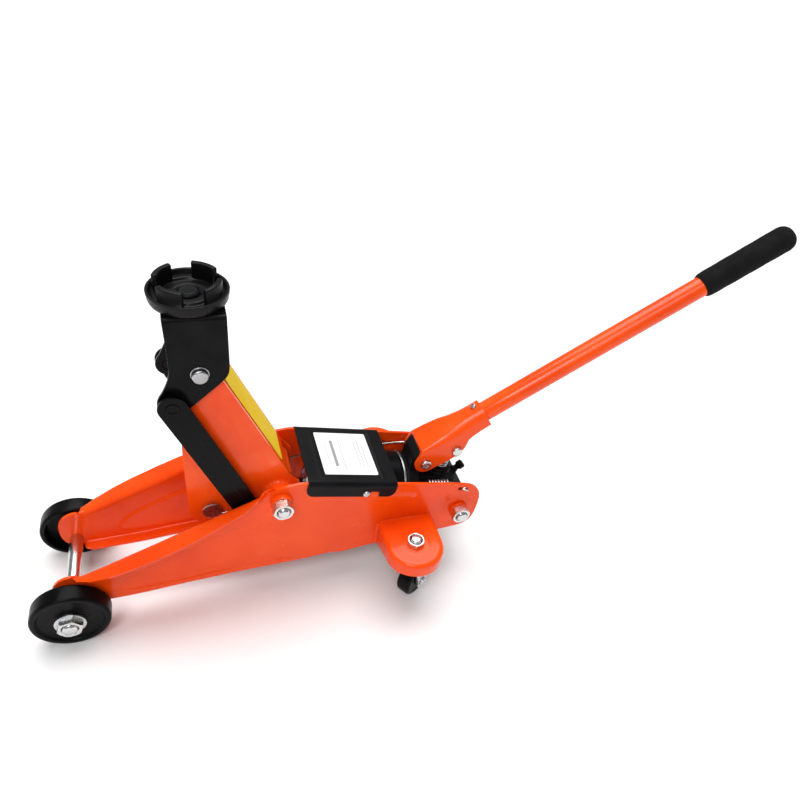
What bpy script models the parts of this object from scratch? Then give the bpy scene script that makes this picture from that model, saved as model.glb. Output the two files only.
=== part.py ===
# Two-tonne hydraulic trolley jack, shown raised.
#
# World frame: metres, +Z up, ground at Z = 0, X = 0 and Y = 0 at the middle of
# the object's box. +X points to the rear (handle end), +Y to the right-hand
# side as seen by the operator standing behind the handle.
#
# The design is drawn in millimetres with X = 0 on the front axle; W() turns
# such a point into world metres.
import math

import bpy
import bmesh
from mathutils import Matrix, Vector

for ob in list(bpy.data.objects):
    bpy.data.objects.remove(ob, do_unlink=True)

# ----------------------------------------------------------------- dimensions
MM = 0.001
X_SHIFT = -0.3083            # world X of the front axle

WHEEL_R = 32.0               # front wheel radius
WHEEL_IN, WHEEL_OUT = 41.5, 57.5
AXLE_R = 6.0
PLATE_IN, PLATE_OUT = 34.5, 37.0    # side plate faces, |Y|
LINK_IN, LINK_OUT = 30.7, 33.3
HUB_R = 11.0                 # lift arm's pivot tube
BRACKET_IN, BRACKET_OUT = 23.5, 26.5
ARM_IN, ARM_OUT = 20.2, 23.2

M = (180.5, 123.0)           # lift arm pivot (main shaft)
A = (122.8, 257.9)           # lift arm to saddle bracket
V_PAR = (-21.3, -24.6)       # parallelogram offset, arm line to link line
L = (M[0] + V_PAR[0], M[1] + V_PAR[1])
B = (A[0] + V_PAR[0], A[1] + V_PAR[1])
R = (123.2, 112.0)           # ram pin on the arm's ears
T = (352.5, 77.7)            # trunnion bolts of the power unit
AXLE = (0.0, WHEEL_R)

P1 = (319.5, 124.0)          # handle socket pivot
P2 = (349.3, 135.2)          # pump roller pin
HANDLE_DEG = 33.1            # handle axis above the horizontal
HANDLE_B = 4.0               # handle axis above P1
TUBE_R, TUBE_IN_R = 9.5, 7.8
GRIP_R = 12.0
HANDLE_LEN = 392.0           # P1 to the tip of the grip

PUMP_AX = (346.2, 120.0)     # a point on the pump plunger's axis
SADDLE = (120.4, 315.5)      # saddle centre, height of its rim
SADDLE_R = 28.8
CASTER = (299.0, 69.0)       # king stud, X and |Y|
CASTER_R = 19.0
CASTER_TRAIL = 9.0
CASTER_YAW = math.radians(35.0)   # how far both forks are swivelled from straight back
PLATE_SLOPE = math.atan2(30.8, 152.3)   # rear top edge of the side plates

COLL = bpy.data.collections.new("trolley_jack")
bpy.context.scene.collection.children.link(COLL)
CUTTERS = bpy.data.collections.new("cutters")
bpy.context.scene.collection.children.link(CUTTERS)


def W(x, y, z):
    return Vector((x * MM + X_SHIFT, y * MM, z * MM))


# ------------------------------------------------------------------ materials
def material(name, rgb, rough, metal=0.0):
    m = bpy.data.materials.new(name)
    m.use_nodes = True
    b = m.node_tree.nodes["Principled BSDF"]
    b.inputs["Base Color"].default_value = (*rgb, 1.0)
    b.inputs["Roughness"].default_value = rough
    b.inputs["Metallic"].default_value = metal
    return m


ORANGE = ((0.83, 0.10, 0.015), 0.28, 0.0)
BLACK = ((0.012, 0.012, 0.014), 0.35, 0.0)
ZINC = ((0.62, 0.63, 0.64), 0.32, 1.0)
STEEL = ((0.35, 0.35, 0.36), 0.35, 1.0)
RUBBER = ((0.010, 0.010, 0.010), 0.75, 0.0)
WHITE = ((0.85, 0.85, 0.83), 0.55, 0.0)
YELLOW = ((0.90, 0.62, 0.03), 0.45, 0.0)


# -------------------------------------------------------------------- helpers
def add(name, me, spec, matrix=None, smooth=True):
    ob = bpy.data.objects.new(name, me)
    COLL.objects.link(ob)
    if matrix is not None:
        ob.matrix_world = matrix
    if spec is not None:
        me.materials.clear()
        me.materials.append(material(name + "_material", *spec))
    if smooth:
        me.shade_smooth()
        me.set_sharp_from_angle(angle=math.radians(35))
    return ob


def clean(me, dist=1e-5):
    bm = bmesh.new()
    bm.from_mesh(me)
    bmesh.ops.remove_doubles(bm, verts=bm.verts, dist=dist)
    bmesh.ops.recalc_face_normals(bm, faces=bm.faces)
    bm.to_mesh(me)
    bm.free()
    return me


def triangulate(me):
    bm = bmesh.new()
    bm.from_mesh(me)
    bmesh.ops.triangulate(bm, faces=bm.faces, ngon_method='EAR_CLIP')
    bm.to_mesh(me)
    bm.free()


def evaluated(ob):
    bpy.context.view_layer.update()
    dg = bpy.context.evaluated_depsgraph_get()
    return bpy.data.meshes.new_from_object(ob.evaluated_get(dg))


def freeze(ob, name=None, spec=None, weld=True):
    """Replace an object by its evaluated mesh."""
    me = evaluated(ob)
    if weld:
        clean(me)
    mw = ob.matrix_world.copy()
    nm = name or ob.name
    bpy.data.objects.remove(ob, do_unlink=True)
    return add(nm, me, spec, mw)


def frame_y(y=0.0):
    """Local XY (mm, design X and Z) stood up into the world XZ plane at Y=y."""
    return Matrix.Translation((X_SHIFT, y * MM, 0.0)) @ Matrix.Rotation(math.pi / 2, 4, 'X')


def frame_z(x, y, z):
    return Matrix.Translation(W(x, y, z))


def extrude(name, loops, thick, matrix, spec):
    """Flat outline (first loop) with holes (other loops), extruded by thick."""
    cu = bpy.data.curves.new(name, 'CURVE')
    cu.dimensions = '2D'
    cu.fill_mode = 'BOTH'
    cu.extrude = thick * MM / 2
    for lp in loops:
        sp = cu.splines.new('POLY')
        sp.points.add(len(lp) - 1)
        for p, (x, y) in zip(sp.points, lp):
            p.co = (x * MM, y * MM, 0.0, 1.0)
        sp.use_cyclic_u = True
    ob = bpy.data.objects.new(name, cu)
    COLL.objects.link(ob)
    ob.matrix_world = matrix
    return freeze(ob, name, spec)


def plate_y(name, loops, y0, y1, spec):
    """Plate lying in XZ between Y = y0 and Y = y1."""
    return extrude(name, loops, abs(y1 - y0), frame_y((y0 + y1) / 2), spec)


def ring_pts(cx, cy, r, n=20, a0=0.0, a1=360.0):
    full = abs(a1 - a0) >= 359.9
    m = n if full else n + 1
    return [(cx + r * math.cos(math.radians(a0 + (a1 - a0) * i / n)),
             cy + r * math.sin(math.radians(a0 + (a1 - a0) * i / n))) for i in range(m)]


def hexagon(cx, cy, r, a0=0.0):
    return ring_pts(cx, cy, r, 6, a0, a0 + 360.0)


def rounded(pts, radii, seg=4):
    """Polygon with its corners replaced by arcs."""
    out = []
    n = len(pts)
    for i in range(n):
        p = Vector(pts[i])
        r = radii[i] if isinstance(radii, (list, tuple)) else radii
        a = Vector(pts[i - 1]) - p
        b = Vector(pts[(i + 1) % n]) - p
        if r <= 0:
            out.append(tuple(p))
            continue
        la, lb = a.length, b.length
        a.normalize()
        b.normalize()
        ang = a.angle(b)
        t = min(r / math.tan(ang / 2), la * 0.49, lb * 0.49)
        rr = t * math.tan(ang / 2)
        c = p + (a + b).normalized() * (rr / math.sin(ang / 2))
        s = p + a * t - c
        e = p + b * t - c
        a0 = math.atan2(s.y, s.x)
        da = math.atan2(s.x * e.y - s.y * e.x, s.dot(e))
        for k in range(seg + 1):
            q = a0 + da * k / seg
            out.append((c.x + rr * math.cos(q), c.y + rr * math.sin(q)))
    return out


def rod(name, p0, p1, r, spec, seg=18, r2=None):
    d = p1 - p0
    bm = bmesh.new()
    bmesh.ops.create_cone(bm, cap_ends=True, segments=seg, radius1=r * MM,
                          radius2=(r if r2 is None else r2) * MM, depth=d.length)
    me = bpy.data.meshes.new(name)
    bm.to_mesh(me)
    bm.free()
    q = d.to_track_quat('Z', 'Y').to_matrix().to_4x4()
    return add(name, me, spec, Matrix.Translation((p0 + p1) / 2) @ q)


def turned(name, profile, matrix, spec, steps=28, closed=False):
    """Turned shape. profile: (radius, height) in mm, outer side top to bottom."""
    me = bpy.data.meshes.new(name)
    vs = [(r * MM, 0.0, z * MM) for r, z in profile]
    n = len(vs)
    es = [(i, i + 1) for i in range(n - 1)]
    if closed:
        es.append((n - 1, 0))
    me.from_pydata(vs, es, [])
    ob = add(name, me, spec, matrix, smooth=False)
    m = ob.modifiers.new("screw", 'SCREW')
    m.axis = 'Z'
    m.steps = steps
    m.render_steps = steps
    m.use_merge_vertices = True
    m.merge_threshold = 0.00001
    m.use_smooth_shade = True
    return freeze(ob, name, spec)


def axis_y(x, z, sign=1.0):
    """Matrix whose local Z runs along +Y (sign 1) or -Y, through (x, z)."""
    return Matrix.Translation(W(x, 0, z)) @ Matrix.Rotation(-sign * math.pi / 2, 4, 'X')


def boolean(ob, other, op):
    m = ob.modifiers.new(op.lower(), 'BOOLEAN')
    m.operation = op
    m.solver = 'EXACT'
    m.object = other
    spec_me = ob.data.materials[0] if ob.data.materials else None
    me = evaluated(ob)
    clean(me, 2e-6)
    mw = ob.matrix_world.copy()
    nm = ob.name
    bpy.data.objects.remove(ob, do_unlink=True)
    bpy.data.objects.remove(other, do_unlink=True)
    new = add(nm, me, None, mw)
    me.materials.clear()
    if spec_me:
        me.materials.append(spec_me)
    return new


def cut(ob, *tools):
    for t in tools:
        ob = boolean(ob, t, 'DIFFERENCE')
    return ob


def join(ob, *tools):
    for t in tools:
        ob = boolean(ob, t, 'UNION')
    return ob


def hole_y(x, z, r, y0, y1, seg=14):
    return rod("cutter", W(x, y0, z), W(x, y1, z), r, STEEL, seg)


def shell(name, verts, faces, thick, spec, offset=-1.0, tri=False):
    """Open surface (mm, design coordinates) thickened by Solidify."""
    me = bpy.data.meshes.new(name)
    me.from_pydata([tuple(W(*v)) for v in verts], [], faces)
    bm = bmesh.new()
    bm.from_mesh(me)
    bmesh.ops.remove_doubles(bm, verts=bm.verts, dist=1e-5)
    bm.to_mesh(me)
    bm.free()
    ob = add(name, me, spec, smooth=False)
    m = ob.modifiers.new("thickness", 'SOLIDIFY')
    m.thickness = thick * MM
    m.offset = offset
    m.use_even_offset = True
    ob = freeze(ob, name, spec)
    if tri:
        triangulate(ob.data)
    return ob


def mirrored(ob, name):
    """The same piece on the other side of the XZ plane."""
    me = ob.data.copy()
    me.transform(ob.matrix_world)
    me.transform(Matrix.Scale(-1.0, 4, (0, 1, 0)))
    me.flip_normals()
    mat = ob.data.materials[0].copy()
    mat.name = name + "_material"
    me.materials.clear()
    me.materials.append(mat)
    new = bpy.data.objects.new(name, me)
    COLL.objects.link(new)
    return new


PIVOTS = {}


def pivot(name, x, y, z, parent=None):
    e = bpy.data.objects.new(name, None)
    COLL.objects.link(e)
    e.empty_display_size = 0.02
    w = W(x, y, z)
    if parent:
        e.parent = PIVOTS[parent]
        e.matrix_parent_inverse = Matrix.Translation(-Vector(PIVOTS[parent]["w"]))
    e.location = w
    e["w"] = tuple(w)
    PIVOTS[name] = e
    return e


def hang(pname, *obs):
    e = PIVOTS[pname]
    for ob in obs:
        mw = ob.matrix_world.copy()
        ob.parent = e
        ob.matrix_parent_inverse = Matrix.Translation(-Vector(e["w"]))
        ob.matrix_world = mw


# ---------------------------------------------------------------- joint pivots
pivot("frame", 0, 0, 0)
pivot("lift_arm_pivot", M[0], 0, M[1])
pivot("link_pivot", L[0], 0, L[1])
pivot("bracket_pivot", A[0], 0, A[1], "lift_arm_pivot")
pivot("saddle_pivot", SADDLE[0], 0, SADDLE[1], "bracket_pivot")
pivot("power_unit_pivot", T[0], 0, T[1])
pivot("ram_pivot", R[0], 0, R[1], "power_unit_pivot")
pivot("handle_pivot", P1[0], 0, P1[1], "power_unit_pivot")
pivot("roller_pivot", P2[0], 0, P2[1], "handle_pivot")
pivot("plunger_pivot", PUMP_AX[0], 0, PUMP_AX[1], "power_unit_pivot")
pivot("valve_pivot", 354.0, 0, 88.0, "power_unit_pivot")
pivot("spring_pivot", 353.4, 0, 104.2)
for side, s in (("left", -1), ("right", 1)):
    pivot("front_wheel_%s_pivot" % side, AXLE[0], s * 49.5, AXLE[1])
    pivot("caster_%s_pivot" % side, CASTER[0], s * CASTER[1], 66.0)
    pivot("caster_wheel_%s_pivot" % side, CASTER[0] + CASTER_TRAIL * math.cos(CASTER_YAW),
          s * CASTER[1] + CASTER_TRAIL * math.sin(CASTER_YAW), CASTER_R,
          "caster_%s_pivot" % side)

# ------------------------------------------------------------------ side plate
# top edge, front to rear, with the width of the outward flange at each point
TOP = [(-0.1, 64.3, 0), (11.0, 66.2, 5.5), (20.5, 69.6, 10.0), (37.1, 76.6, 14.0),
       (53.8, 84.0, 16.0), (78.7, 95.0, 17.0), (98.0, 104.0, 16.5), (122.0, 114.8, 14.0),
       (146.6, 125.6, 10.0), (166.8, 134.5, 2.2)]
HUMP = [(171.0, 136.6), (187.8, 139.4), (203.7, 140.2), (356.0, 109.6)]
REAR = [(365.5, 105.5), (371.5, 98.5), (373.8, 89.0), (373.2, 75.0), (370.5, 62.0), (364.0, 54.0)]
BOTTOM = [(354.0, 50.8), (335.0, 49.0), (259.0, 42.4), (228.0, 37.8), (189.0, 34.4),
          (143.0, 32.6), (85.0, 27.9), (60.0, 25.4), (31.0, 24.0), (6.0, 23.0)]
NOSE = [(-4.5, 23.6), (-9.5, 28.0), (-12.6, 36.0), (-13.0, 47.6), (-9.7, 57.4)]
# inward lower flange: width at the bottom points from X = 228 to X = 6
LOW_W = {(228.0, 37.8): 2.5, (189.0, 34.4): 7.0, (143.0, 32.6): 9.0, (85.0, 27.9): 10.0,
         (60.0, 25.4): 10.0, (31.0, 24.0): 10.0, (6.0, 23.0): 8.0}


def side_plate():
    y = -PLATE_OUT
    verts, faces = [], []

    def v(p, yy):
        verts.append((p[0], yy, p[1]))
        return len(verts) - 1
    # the sheet's thickness lies above the flange's lower face
    top = [(t[0], t[1] - min(2.7, t[2] * 0.6), t[2]) for t in TOP]
    web_pts = [(t[0], t[1]) for t in top] + HUMP + REAR + BOTTOM + NOSE
    web = [v(p, y) for p in web_pts]
    faces.append(web)
    fl = [(i, t) for i, t in enumerate(top) if t[2] > 0]
    outer = [v((t[0], t[1]), y - t[2]) for i, t in fl]
    for k in range(len(fl) - 1):
        faces.append([web[fl[k + 1][0]], web[fl[k][0]], outer[k], outer[k + 1]])
    base = len(TOP) + len(HUMP) + len(REAR)
    low = [(base + i, p) for i, p in enumerate(BOTTOM) if p in LOW_W]
    inner = [v(p, y + 2.5 + LOW_W[p]) for i, p in low]
    for k in range(len(low) - 1):
        faces.append([web[low[k + 1][0]], web[low[k][0]], inner[k], inner[k + 1]])
    ob = shell("side_plate_left", verts, faces, PLATE_OUT - PLATE_IN, ORANGE, offset=1.0, tri=True)
    return ob


ob = side_plate()
cutters = [hole_y(M[0], M[1], 8.3, -45, -30), hole_y(T[0], T[1], 7.4, -45, -30),
           hole_y(L[0], L[1], 5.3, -45, -30), hole_y(AXLE[0], AXLE[1], 6.3, -45, -30),
           hole_y(256.0, 120.6, 2.3, -45, -30, 12)]
slot = plate_y("cutter", [ring_pts(350.4, 104.6, 1.9, 6, 90, 270) + ring_pts(356.6, 103.4, 1.9, 6, -90, 90)],
               -45, -30, STEEL)
cutters.append(slot)
ob = cut(ob, *cutters)
right = mirrored(ob, "side_plate_right")
hang("frame", ob, right)

# ------------------------------------------------- front axle, wheels and nuts
axle = rod("front_axle", W(0, -66, WHEEL_R), W(0, 66, WHEEL_R), AXLE_R, ZINC, 20)
hang("frame", axle)
for side, s in (("left", -1), ("right", 1)):
    # local Z of the turning axis points outwards
    prof = [(6.4, WHEEL_OUT - 1.2), (27.0, WHEEL_OUT - 1.2), (28.0, WHEEL_OUT), (31.0, WHEEL_OUT),
            (WHEEL_R, WHEEL_OUT - 1.4), (WHEEL_R, WHEEL_IN + 1.2), (31.0, WHEEL_IN), (27.0, WHEEL_IN),
            (26.0, WHEEL_IN + 9.5), (13.5, WHEEL_IN + 9.5), (12.0, WHEEL_IN - 1.8), (6.4, WHEEL_IN - 1.8)]
    wheel = turned("front_wheel_" + side, prof, axis_y(0, WHEEL_R, s), BLACK, 24, closed=True)
    hang("front_wheel_%s_pivot" % side, wheel)
    nut = plate_y("axle_nut_" + side, [hexagon(0, WHEEL_R, 10.8, 12), ring_pts(0, WHEEL_R, 6.35, 10)],
                  s * 59.0, s * 66.2, ZINC)
    col = plate_y("tool", [ring_pts(0, WHEEL_R, 12.6, 18), ring_pts(0, WHEEL_R, 6.5, 10)],
                  s * 56.8, s * 59.1, ZINC)
    nut = join(nut, col)
    hang("frame", nut)

# --------------------------------------------- main shaft, its nuts, link pins
shaft = turned("main_shaft", [(0, 53.0), (4.4, 53.0), (5.0, 52.4), (5.0, 42.9), (8.0, 42.9),
                             (8.0, -42.9), (5.0, -42.9), (5.0, -52.4), (4.4, -53.0), (0, -53.0)],
               axis_y(M[0], M[1]), ZINC, 24)
hang("frame", shaft)
for side, s in (("left", -1), ("right", 1)):
    nut = plate_y("main_nut_" + side, [hexagon(M[0], M[1], 9.4, 10), ring_pts(M[0], M[1], 5.3, 20)],
                  s * 43.2, s * 50.6, ZINC)
    pin = turned("link_pin_" + side,
                 [(0, PLATE_OUT - 0.1), (5.0, PLATE_OUT - 0.1), (5.0, 30.4), (8.0, 30.4), (8.0, 27.8), (0, 27.8)],
                 axis_y(L[0], L[1], s), ORANGE, 20)
    hang("frame", nut, pin)

# --------------------------------------------------------------------- lift arm
web_n = Vector((0.9045, 0.4265))                      # normal of the arm's back


def back_line(z):
    return (231.6 - web_n.y * z) / web_n.x


arm_side = (ring_pts(A[0], A[1], 11.8, 8, 25, 185)
            + [(106.5, 222.0), (104.6, 190.0), (104.2, 150.0)]
            + ring_pts(R[0], R[1], 19.0, 8, 180, 268)
            + [(160.0, 100.5)]
            + ring_pts(M[0], M[1], 19.0, 8, -100, 22))
back_low = (back_line(142.0), 142.0)
back_high = (back_line(256.0), 256.0)


def lift_arm():
    pts = arm_side + [back_low, back_high]
    n = len(pts)
    verts = [(p[0], -ARM_OUT, p[1]) for p in pts] + [(p[0], ARM_OUT, p[1]) for p in pts]
    faces = [list(range(n)), list(range(2 * n - 1, n - 1, -1))]
    faces.append([n - 2, n + n - 2, n + n - 1, n - 1])
    return shell("lift_arm", verts, faces, ARM_OUT - ARM_IN, ORANGE, tri=True)


arm = lift_arm()
arm = cut(arm, hole_y(A[0], A[1], 7.4, -30, 30, 14), hole_y(M[0], M[1], HUB_R + 0.35, -30, 30, 18),
          hole_y(R[0], R[1], 5.4, -30, 30, 12))
hub = plate_y("arm_pivot_tube", [ring_pts(M[0], M[1], HUB_R, 18), ring_pts(M[0], M[1], 8.4, 18)], -34.2, 34.2, ORANGE)
a_pin = rod("saddle_bracket_pin", W(A[0], -30.3, A[1]), W(A[0], 30.3, A[1]), 7.0, ZINC, 20)
hang("lift_arm_pivot", arm, hub, a_pin)
for side, s in (("left", -1), ("right", 1)):
    stud = turned("ram_pin_" + side, [(0, 27.4), (8.4, 27.4), (8.4, 26.6), (5.0, 26.6), (5.0, ARM_IN), (0, ARM_IN)],
                  axis_y(R[0], R[1], s), STEEL, 18)
    hang("lift_arm_pivot", stud)
# caution strip stuck on the arm's back
t0, t1 = 0.10, 0.93
lo = Vector(back_low) + (Vector(back_high) - Vector(back_low)) * t0
hi = Vector(back_low) + (Vector(back_high) - Vector(back_low)) * t1
up_v = (hi - lo).normalized()
strip_m = Matrix((( up_v.x, 0, web_n.x, W(lo.x, 0, 0).x), (0, -1, 0, 0), (up_v.y, 0, web_n.y, lo.y * MM), (0, 0, 0, 1)))
strip_m = strip_m @ Matrix.Translation((0, 0, 0.0006))
strip = extrude("arm_strip", [rounded([(0, -18.5), ((hi - lo).length, -18.5), ((hi - lo).length, 18.5), (0, 18.5)], 2, 2)],
                0.5, strip_m, YELLOW)
hang("lift_arm_pivot", strip)

# ------------------------------------------------------------------------ links
dirn = (Vector(B) - Vector(L)).normalized()
ang = math.degrees(math.atan2(dirn.y, dirn.x))
for side, s in (("left", -1), ("right", 1)):
    out = ring_pts(B[0], B[1], 10.8, 10, ang - 90, ang + 90) + ring_pts(L[0], L[1], 10.8, 10, ang + 90, ang + 270)
    link = plate_y("link_" + side, [out, ring_pts(B[0], B[1], 5.3, 14), ring_pts(L[0], L[1], 5.3, 14)],
                   s * LINK_IN, s * LINK_OUT, BLACK)
    hang("link_pivot", link)

# --------------------------------------------------------------- saddle bracket
BR_TOP = 306.5
br_side = ([(144.0, BR_TOP), (100.8, BR_TOP), (101.6, 259.0)]
           + ring_pts(B[0], B[1], 10.6, 8, 155, 290)
           + [(113.8, 227.6), (144.3, 257.0)])


def saddle_bracket():
    pts = br_side
    n = len(pts)
    verts = [(p[0], -BRACKET_OUT, p[1]) for p in pts] + [(p[0], BRACKET_OUT, p[1]) for p in pts]
    faces = [list(range(n)), list(range(2 * n - 1, n - 1, -1)), [0, n, n + 1, 1]]
    return shell("saddle_bracket", verts, faces, BRACKET_OUT - BRACKET_IN, BLACK)


br = saddle_bracket()
br = cut(br, hole_y(A[0], A[1], 7.4, -30, 30, 14), hole_y(B[0], B[1], 5.3, -30, 30, 10),
         rod("cutter", W(SADDLE[0], 0, 290), W(SADDLE[0], 0, 312), 5.4, STEEL, 12))
hang("bracket_pivot", br)
for side, s in (("left", -1), ("right", 1)):
    rv = turned("link_rivet_" + side,
                [(0, LINK_OUT), (5.0, LINK_OUT), (5.0, 30.4), (8.0, 30.4), (8.0, 26.8), (5.0, 26.8), (5.0, 23.6), (0, 23.6)],
                axis_y(B[0], B[1], s), STEEL, 12)
    hang("bracket_pivot", rv)
bolt = turned("saddle_bolt", [(0, 314.2), (6.0, 314.2), (8.6, 312.4), (8.6, 311.2), (5.0, 311.2), (5.0, 294.5), (0, 294.5)],
              frame_z(SADDLE[0], 0, 0), ZINC, 20)
nut = extrude("saddle_nut", [hexagon(0, 0, 9.2, 0), ring_pts(0, 0, 5.25, 16)], 6.4, frame_z(SADDLE[0], 0, 299.8), ZINC)
hang("bracket_pivot", bolt, nut)

# ----------------------------------------------------------------------- saddle
sd = turned("saddle", [(5.3, 310.9), (20.3, 310.9), (20.3, 312.4), (24.0, 312.4), (24.0, 310.6), (26.0, 310.6),
                       (26.8, SADDLE[1]), (SADDLE_R, SADDLE[1]), (28.6, 308.6),
                       (27.2, 306.9), (5.3, 306.9)],
            frame_z(SADDLE[0], 0, 0), BLACK, 24, closed=True)
for k in range(4):
    a0 = 53.5 + 90 * k
    seg_out = ring_pts(0, 0, 23.8, 4, a0 - 26, a0 + 26) + list(reversed(ring_pts(0, 0, 20.0, 4, a0 - 26, a0 + 26)))
    pr = extrude("tool", [seg_out], 13.0, frame_z(SADDLE[0], 0, 317.2), BLACK)
    sd = join(sd, pr)
hang("saddle_pivot", sd)

# ------------------------------------------------------------------------ cover
cs, sn = math.cos(PLATE_SLOPE), math.sin(PLATE_SLOPE)
COVER0 = (204.0, 142.6)      # front edge of the cover's top face
COVER_LEN = 83.6


def cover_pt(s_, drop=0.0):
    return (COVER0[0] + s_ * cs - drop * sn, COVER0[1] - s_ * sn - drop * cs)


def cover():
    verts, faces = [], []
    hw = 38.9
    rows = []
    # across the cover: bottom of near flap ... top ... bottom of far flap
    sect = [(-hw, 12.5), (-hw, 6.0), (-hw, 2.0), (-hw + 0.6, 0.6), (-hw + 2.0, 0.0), (hw - 2.0, 0.0),
            (hw - 0.6, 0.6), (hw, 2.0), (hw, 6.0), (hw, 12.5)]
    stations = [(0.0, 6.5), (2.0, 3.2), (6.0, 0.6), (10.0, 0.0), (51.4, 0.0), (51.41, 0.0), (59.2, 0.0), (59.21, 0.0),
                (74.0, 0.0), (78.0, 0.8), (81.6, 3.4), (COVER_LEN, 6.5)]
    for s_, lift in stations:
        row = []
        for k, (y, d) in enumerate(sect):
            dd = d - lift if k in (0, len(sect) - 1) else d
            x, z = cover_pt(s_, max(dd, 0))
            verts.append((x, y, z))
            row.append(len(verts) - 1)
        rows.append(row)
    for i in range(len(rows) - 1):
        notch = i == 5
        for k in range(len(sect) - 1):
            if (k == 0 or k == len(sect) - 2) and notch:
                continue
            faces.append([rows[i][k], rows[i][k + 1], rows[i + 1][k + 1], rows[i + 1][k]])
    return shell("cover", verts, faces, 1.5, BLACK, offset=1.0)


cv = cover()
hang("frame", cv)
lab_m = (Matrix.Translation(W(COVER0[0], 0, COVER0[1])) @ Matrix.Rotation(PLATE_SLOPE, 4, 'Y')
         @ Matrix.Translation((0, 0.0015, 0.00055)))
label = extrude("cover_label", [rounded([(16.5, -27.5), (67.0, -27.5), (67.0, 27.5), (16.5, 27.5)], 0.0)], 0.5, lab_m, WHITE)
hang("frame", label)
for side, s in (("left", -1), ("right", 1)):
    prof = [(0, 40.2), (2.2, 40.2), (3.2, 39.4), (3.2, 37.4), (2.0, 37.4), (2.0, 32.2), (0, 32.2)]
    screw = turned("cover_screw_" + side, prof, axis_y(256.0, 120.6, s), ZINC, 14)
    hang("frame", screw)

# -------------------------------------------------------------- caster brackets
CB_Z = 76.0
CB_R = 27.0


def caster_bracket():
    cx, cy = CASTER
    y_in = -(PLATE_OUT + 0.3)
    path = [(cx - CB_R, y_in, 31.0), (cx - CB_R, y_in - 8, 25.0), (cx - CB_R, y_in - 20, 16.5)]
    for i in range(0, 11):
        a = math.pi + math.pi * i / 10
        path.append((cx + CB_R * math.cos(a), -cy + CB_R * math.sin(a), 14.0))
    path += [(cx + CB_R, y_in - 20, 16.5), (cx + CB_R, y_in - 8, 22.0), (cx + CB_R, y_in, 26.0)]
    verts, faces = [], []
    # inner top outline and a rounded shoulder down to the skirt
    rings = []
    for ins, drop in ((3.2, 0.0), (0.9, 1.0), (0.0, 3.2), (0.0, None)):
        ring = []
        for x, y, d in path:
            ox, oy = cx, min(y_in, max(y, -cy))
            v = Vector((x - cx, y - oy)) if y < -cy else Vector((x - cx, 0.0))
            if v.length > 0:
                v = v.normalized() * (CB_R - ins)
            px = cx + v.x
            py = (-cy + v.y) if y < -cy else y
            z = CB_Z - (d if drop is None else drop)
            verts.append((px, py, z))
            ring.append(len(verts) - 1)
        rings.append(ring)
    faces.append(list(rings[0]))
    for a, b in zip(rings[:-1], rings[1:]):
        for i in range(len(a) - 1):
            faces.append([a[i], b[i], b[i + 1], a[i + 1]])
    return shell("caster_bracket_left", verts, faces, 3.0, ORANGE)


cb = caster_bracket()
cb = cut(cb, rod("cutter", W(CASTER[0], -CASTER[1], 60), W(CASTER[0], -CASTER[1], 90), 5.3, STEEL, 16))
cbr = mirrored(cb, "caster_bracket_right")
hang("frame", cb, cbr)
for side, s in (("left", -1), ("right", 1)):
    cx, cy = CASTER[0], s * CASTER[1]
    st = turned("caster_stud_" + side,
                [(0, 83.0), (4.4, 83.0), (5.0, 82.2), (5.0, 63.2), (8.0, 63.2), (8.0, 59.4), (0, 59.4)],
                frame_z(cx, cy, 0), ZINC, 12)
    nt = extrude("tool", [hexagon(0, 0, 8.4, 20), ring_pts(0, 0, 4.0, 8)], 5.0, frame_z(cx, cy, CB_Z + 0.4 + 2.5), ZINC)
    st = join(st, nt)
    hang("frame", st)
    # swivelling fork: bearing boss, top plate and two legs
    fk_ = turned("caster_fork_" + side,
                 [(5.4, 72.6), (9.5, 72.6), (16.5, 66.4), (16.5, 63.6), (5.4, 63.6)],
                 frame_z(cx, cy, 0), ZINC, 16, closed=True)
    wx = cx + CASTER_TRAIL
    for t in (-1, 1):
        y0, y1 = cy + t * 8.6, cy + t * 10.8
        leg = plate_y("tool", [rounded([(cx - 11.0, 65.8), (cx + 11.5, 65.8), (wx + 7.5, CASTER_R + 2), (wx + 5.0, CASTER_R - 8.0),
                                        (wx - 5.0, CASTER_R - 8.0), (wx - 7.0, CASTER_R + 3)], [0, 0, 4, 5, 5, 4], 2),
                               ring_pts(wx, CASTER_R, 3.3, 8)], y0, y1, ZINC)
        fk_ = join(fk_, leg)
    swing = Matrix.Translation(W(cx, cy, 0)) @ Matrix.Rotation(CASTER_YAW, 4, 'Z') @ Matrix.Translation(-W(cx, cy, 0))
    fk_.data.transform(fk_.matrix_world.inverted() @ swing @ fk_.matrix_world)
    hang("caster_%s_pivot" % side, fk_)
    wh = turned("caster_wheel_" + side,
                [(3.4, 7.4), (17.0, 7.4), (CASTER_R, 5.6), (CASTER_R, -5.6), (17.0, -7.4), (3.4, -7.4)],
                Matrix.Translation(W(wx, cy, CASTER_R)) @ Matrix.Rotation(-math.pi / 2, 4, 'X'), BLACK, 24, closed=True)
    wh.data.transform(wh.matrix_world.inverted() @ swing @ wh.matrix_world)
    hang("caster_wheel_%s_pivot" % side, wh)
    ax = turned("caster_axle_" + side,
                [(0, 13.2), (4.0, 13.2), (4.6, 12.4), (4.6, 11.1), (3.0, 11.1), (3.0, -11.1), (4.6, -11.1), (4.6, -12.4), (4.0, -13.2), (0, -13.2)],
                Matrix.Translation(W(wx, cy, CASTER_R)) @ Matrix.Rotation(-math.pi / 2, 4, 'X'), ZINC, 10)
    ax.data.transform(ax.matrix_world.inverted() @ swing @ ax.matrix_world)
    hang("caster_%s_pivot" % side, ax)

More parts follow.
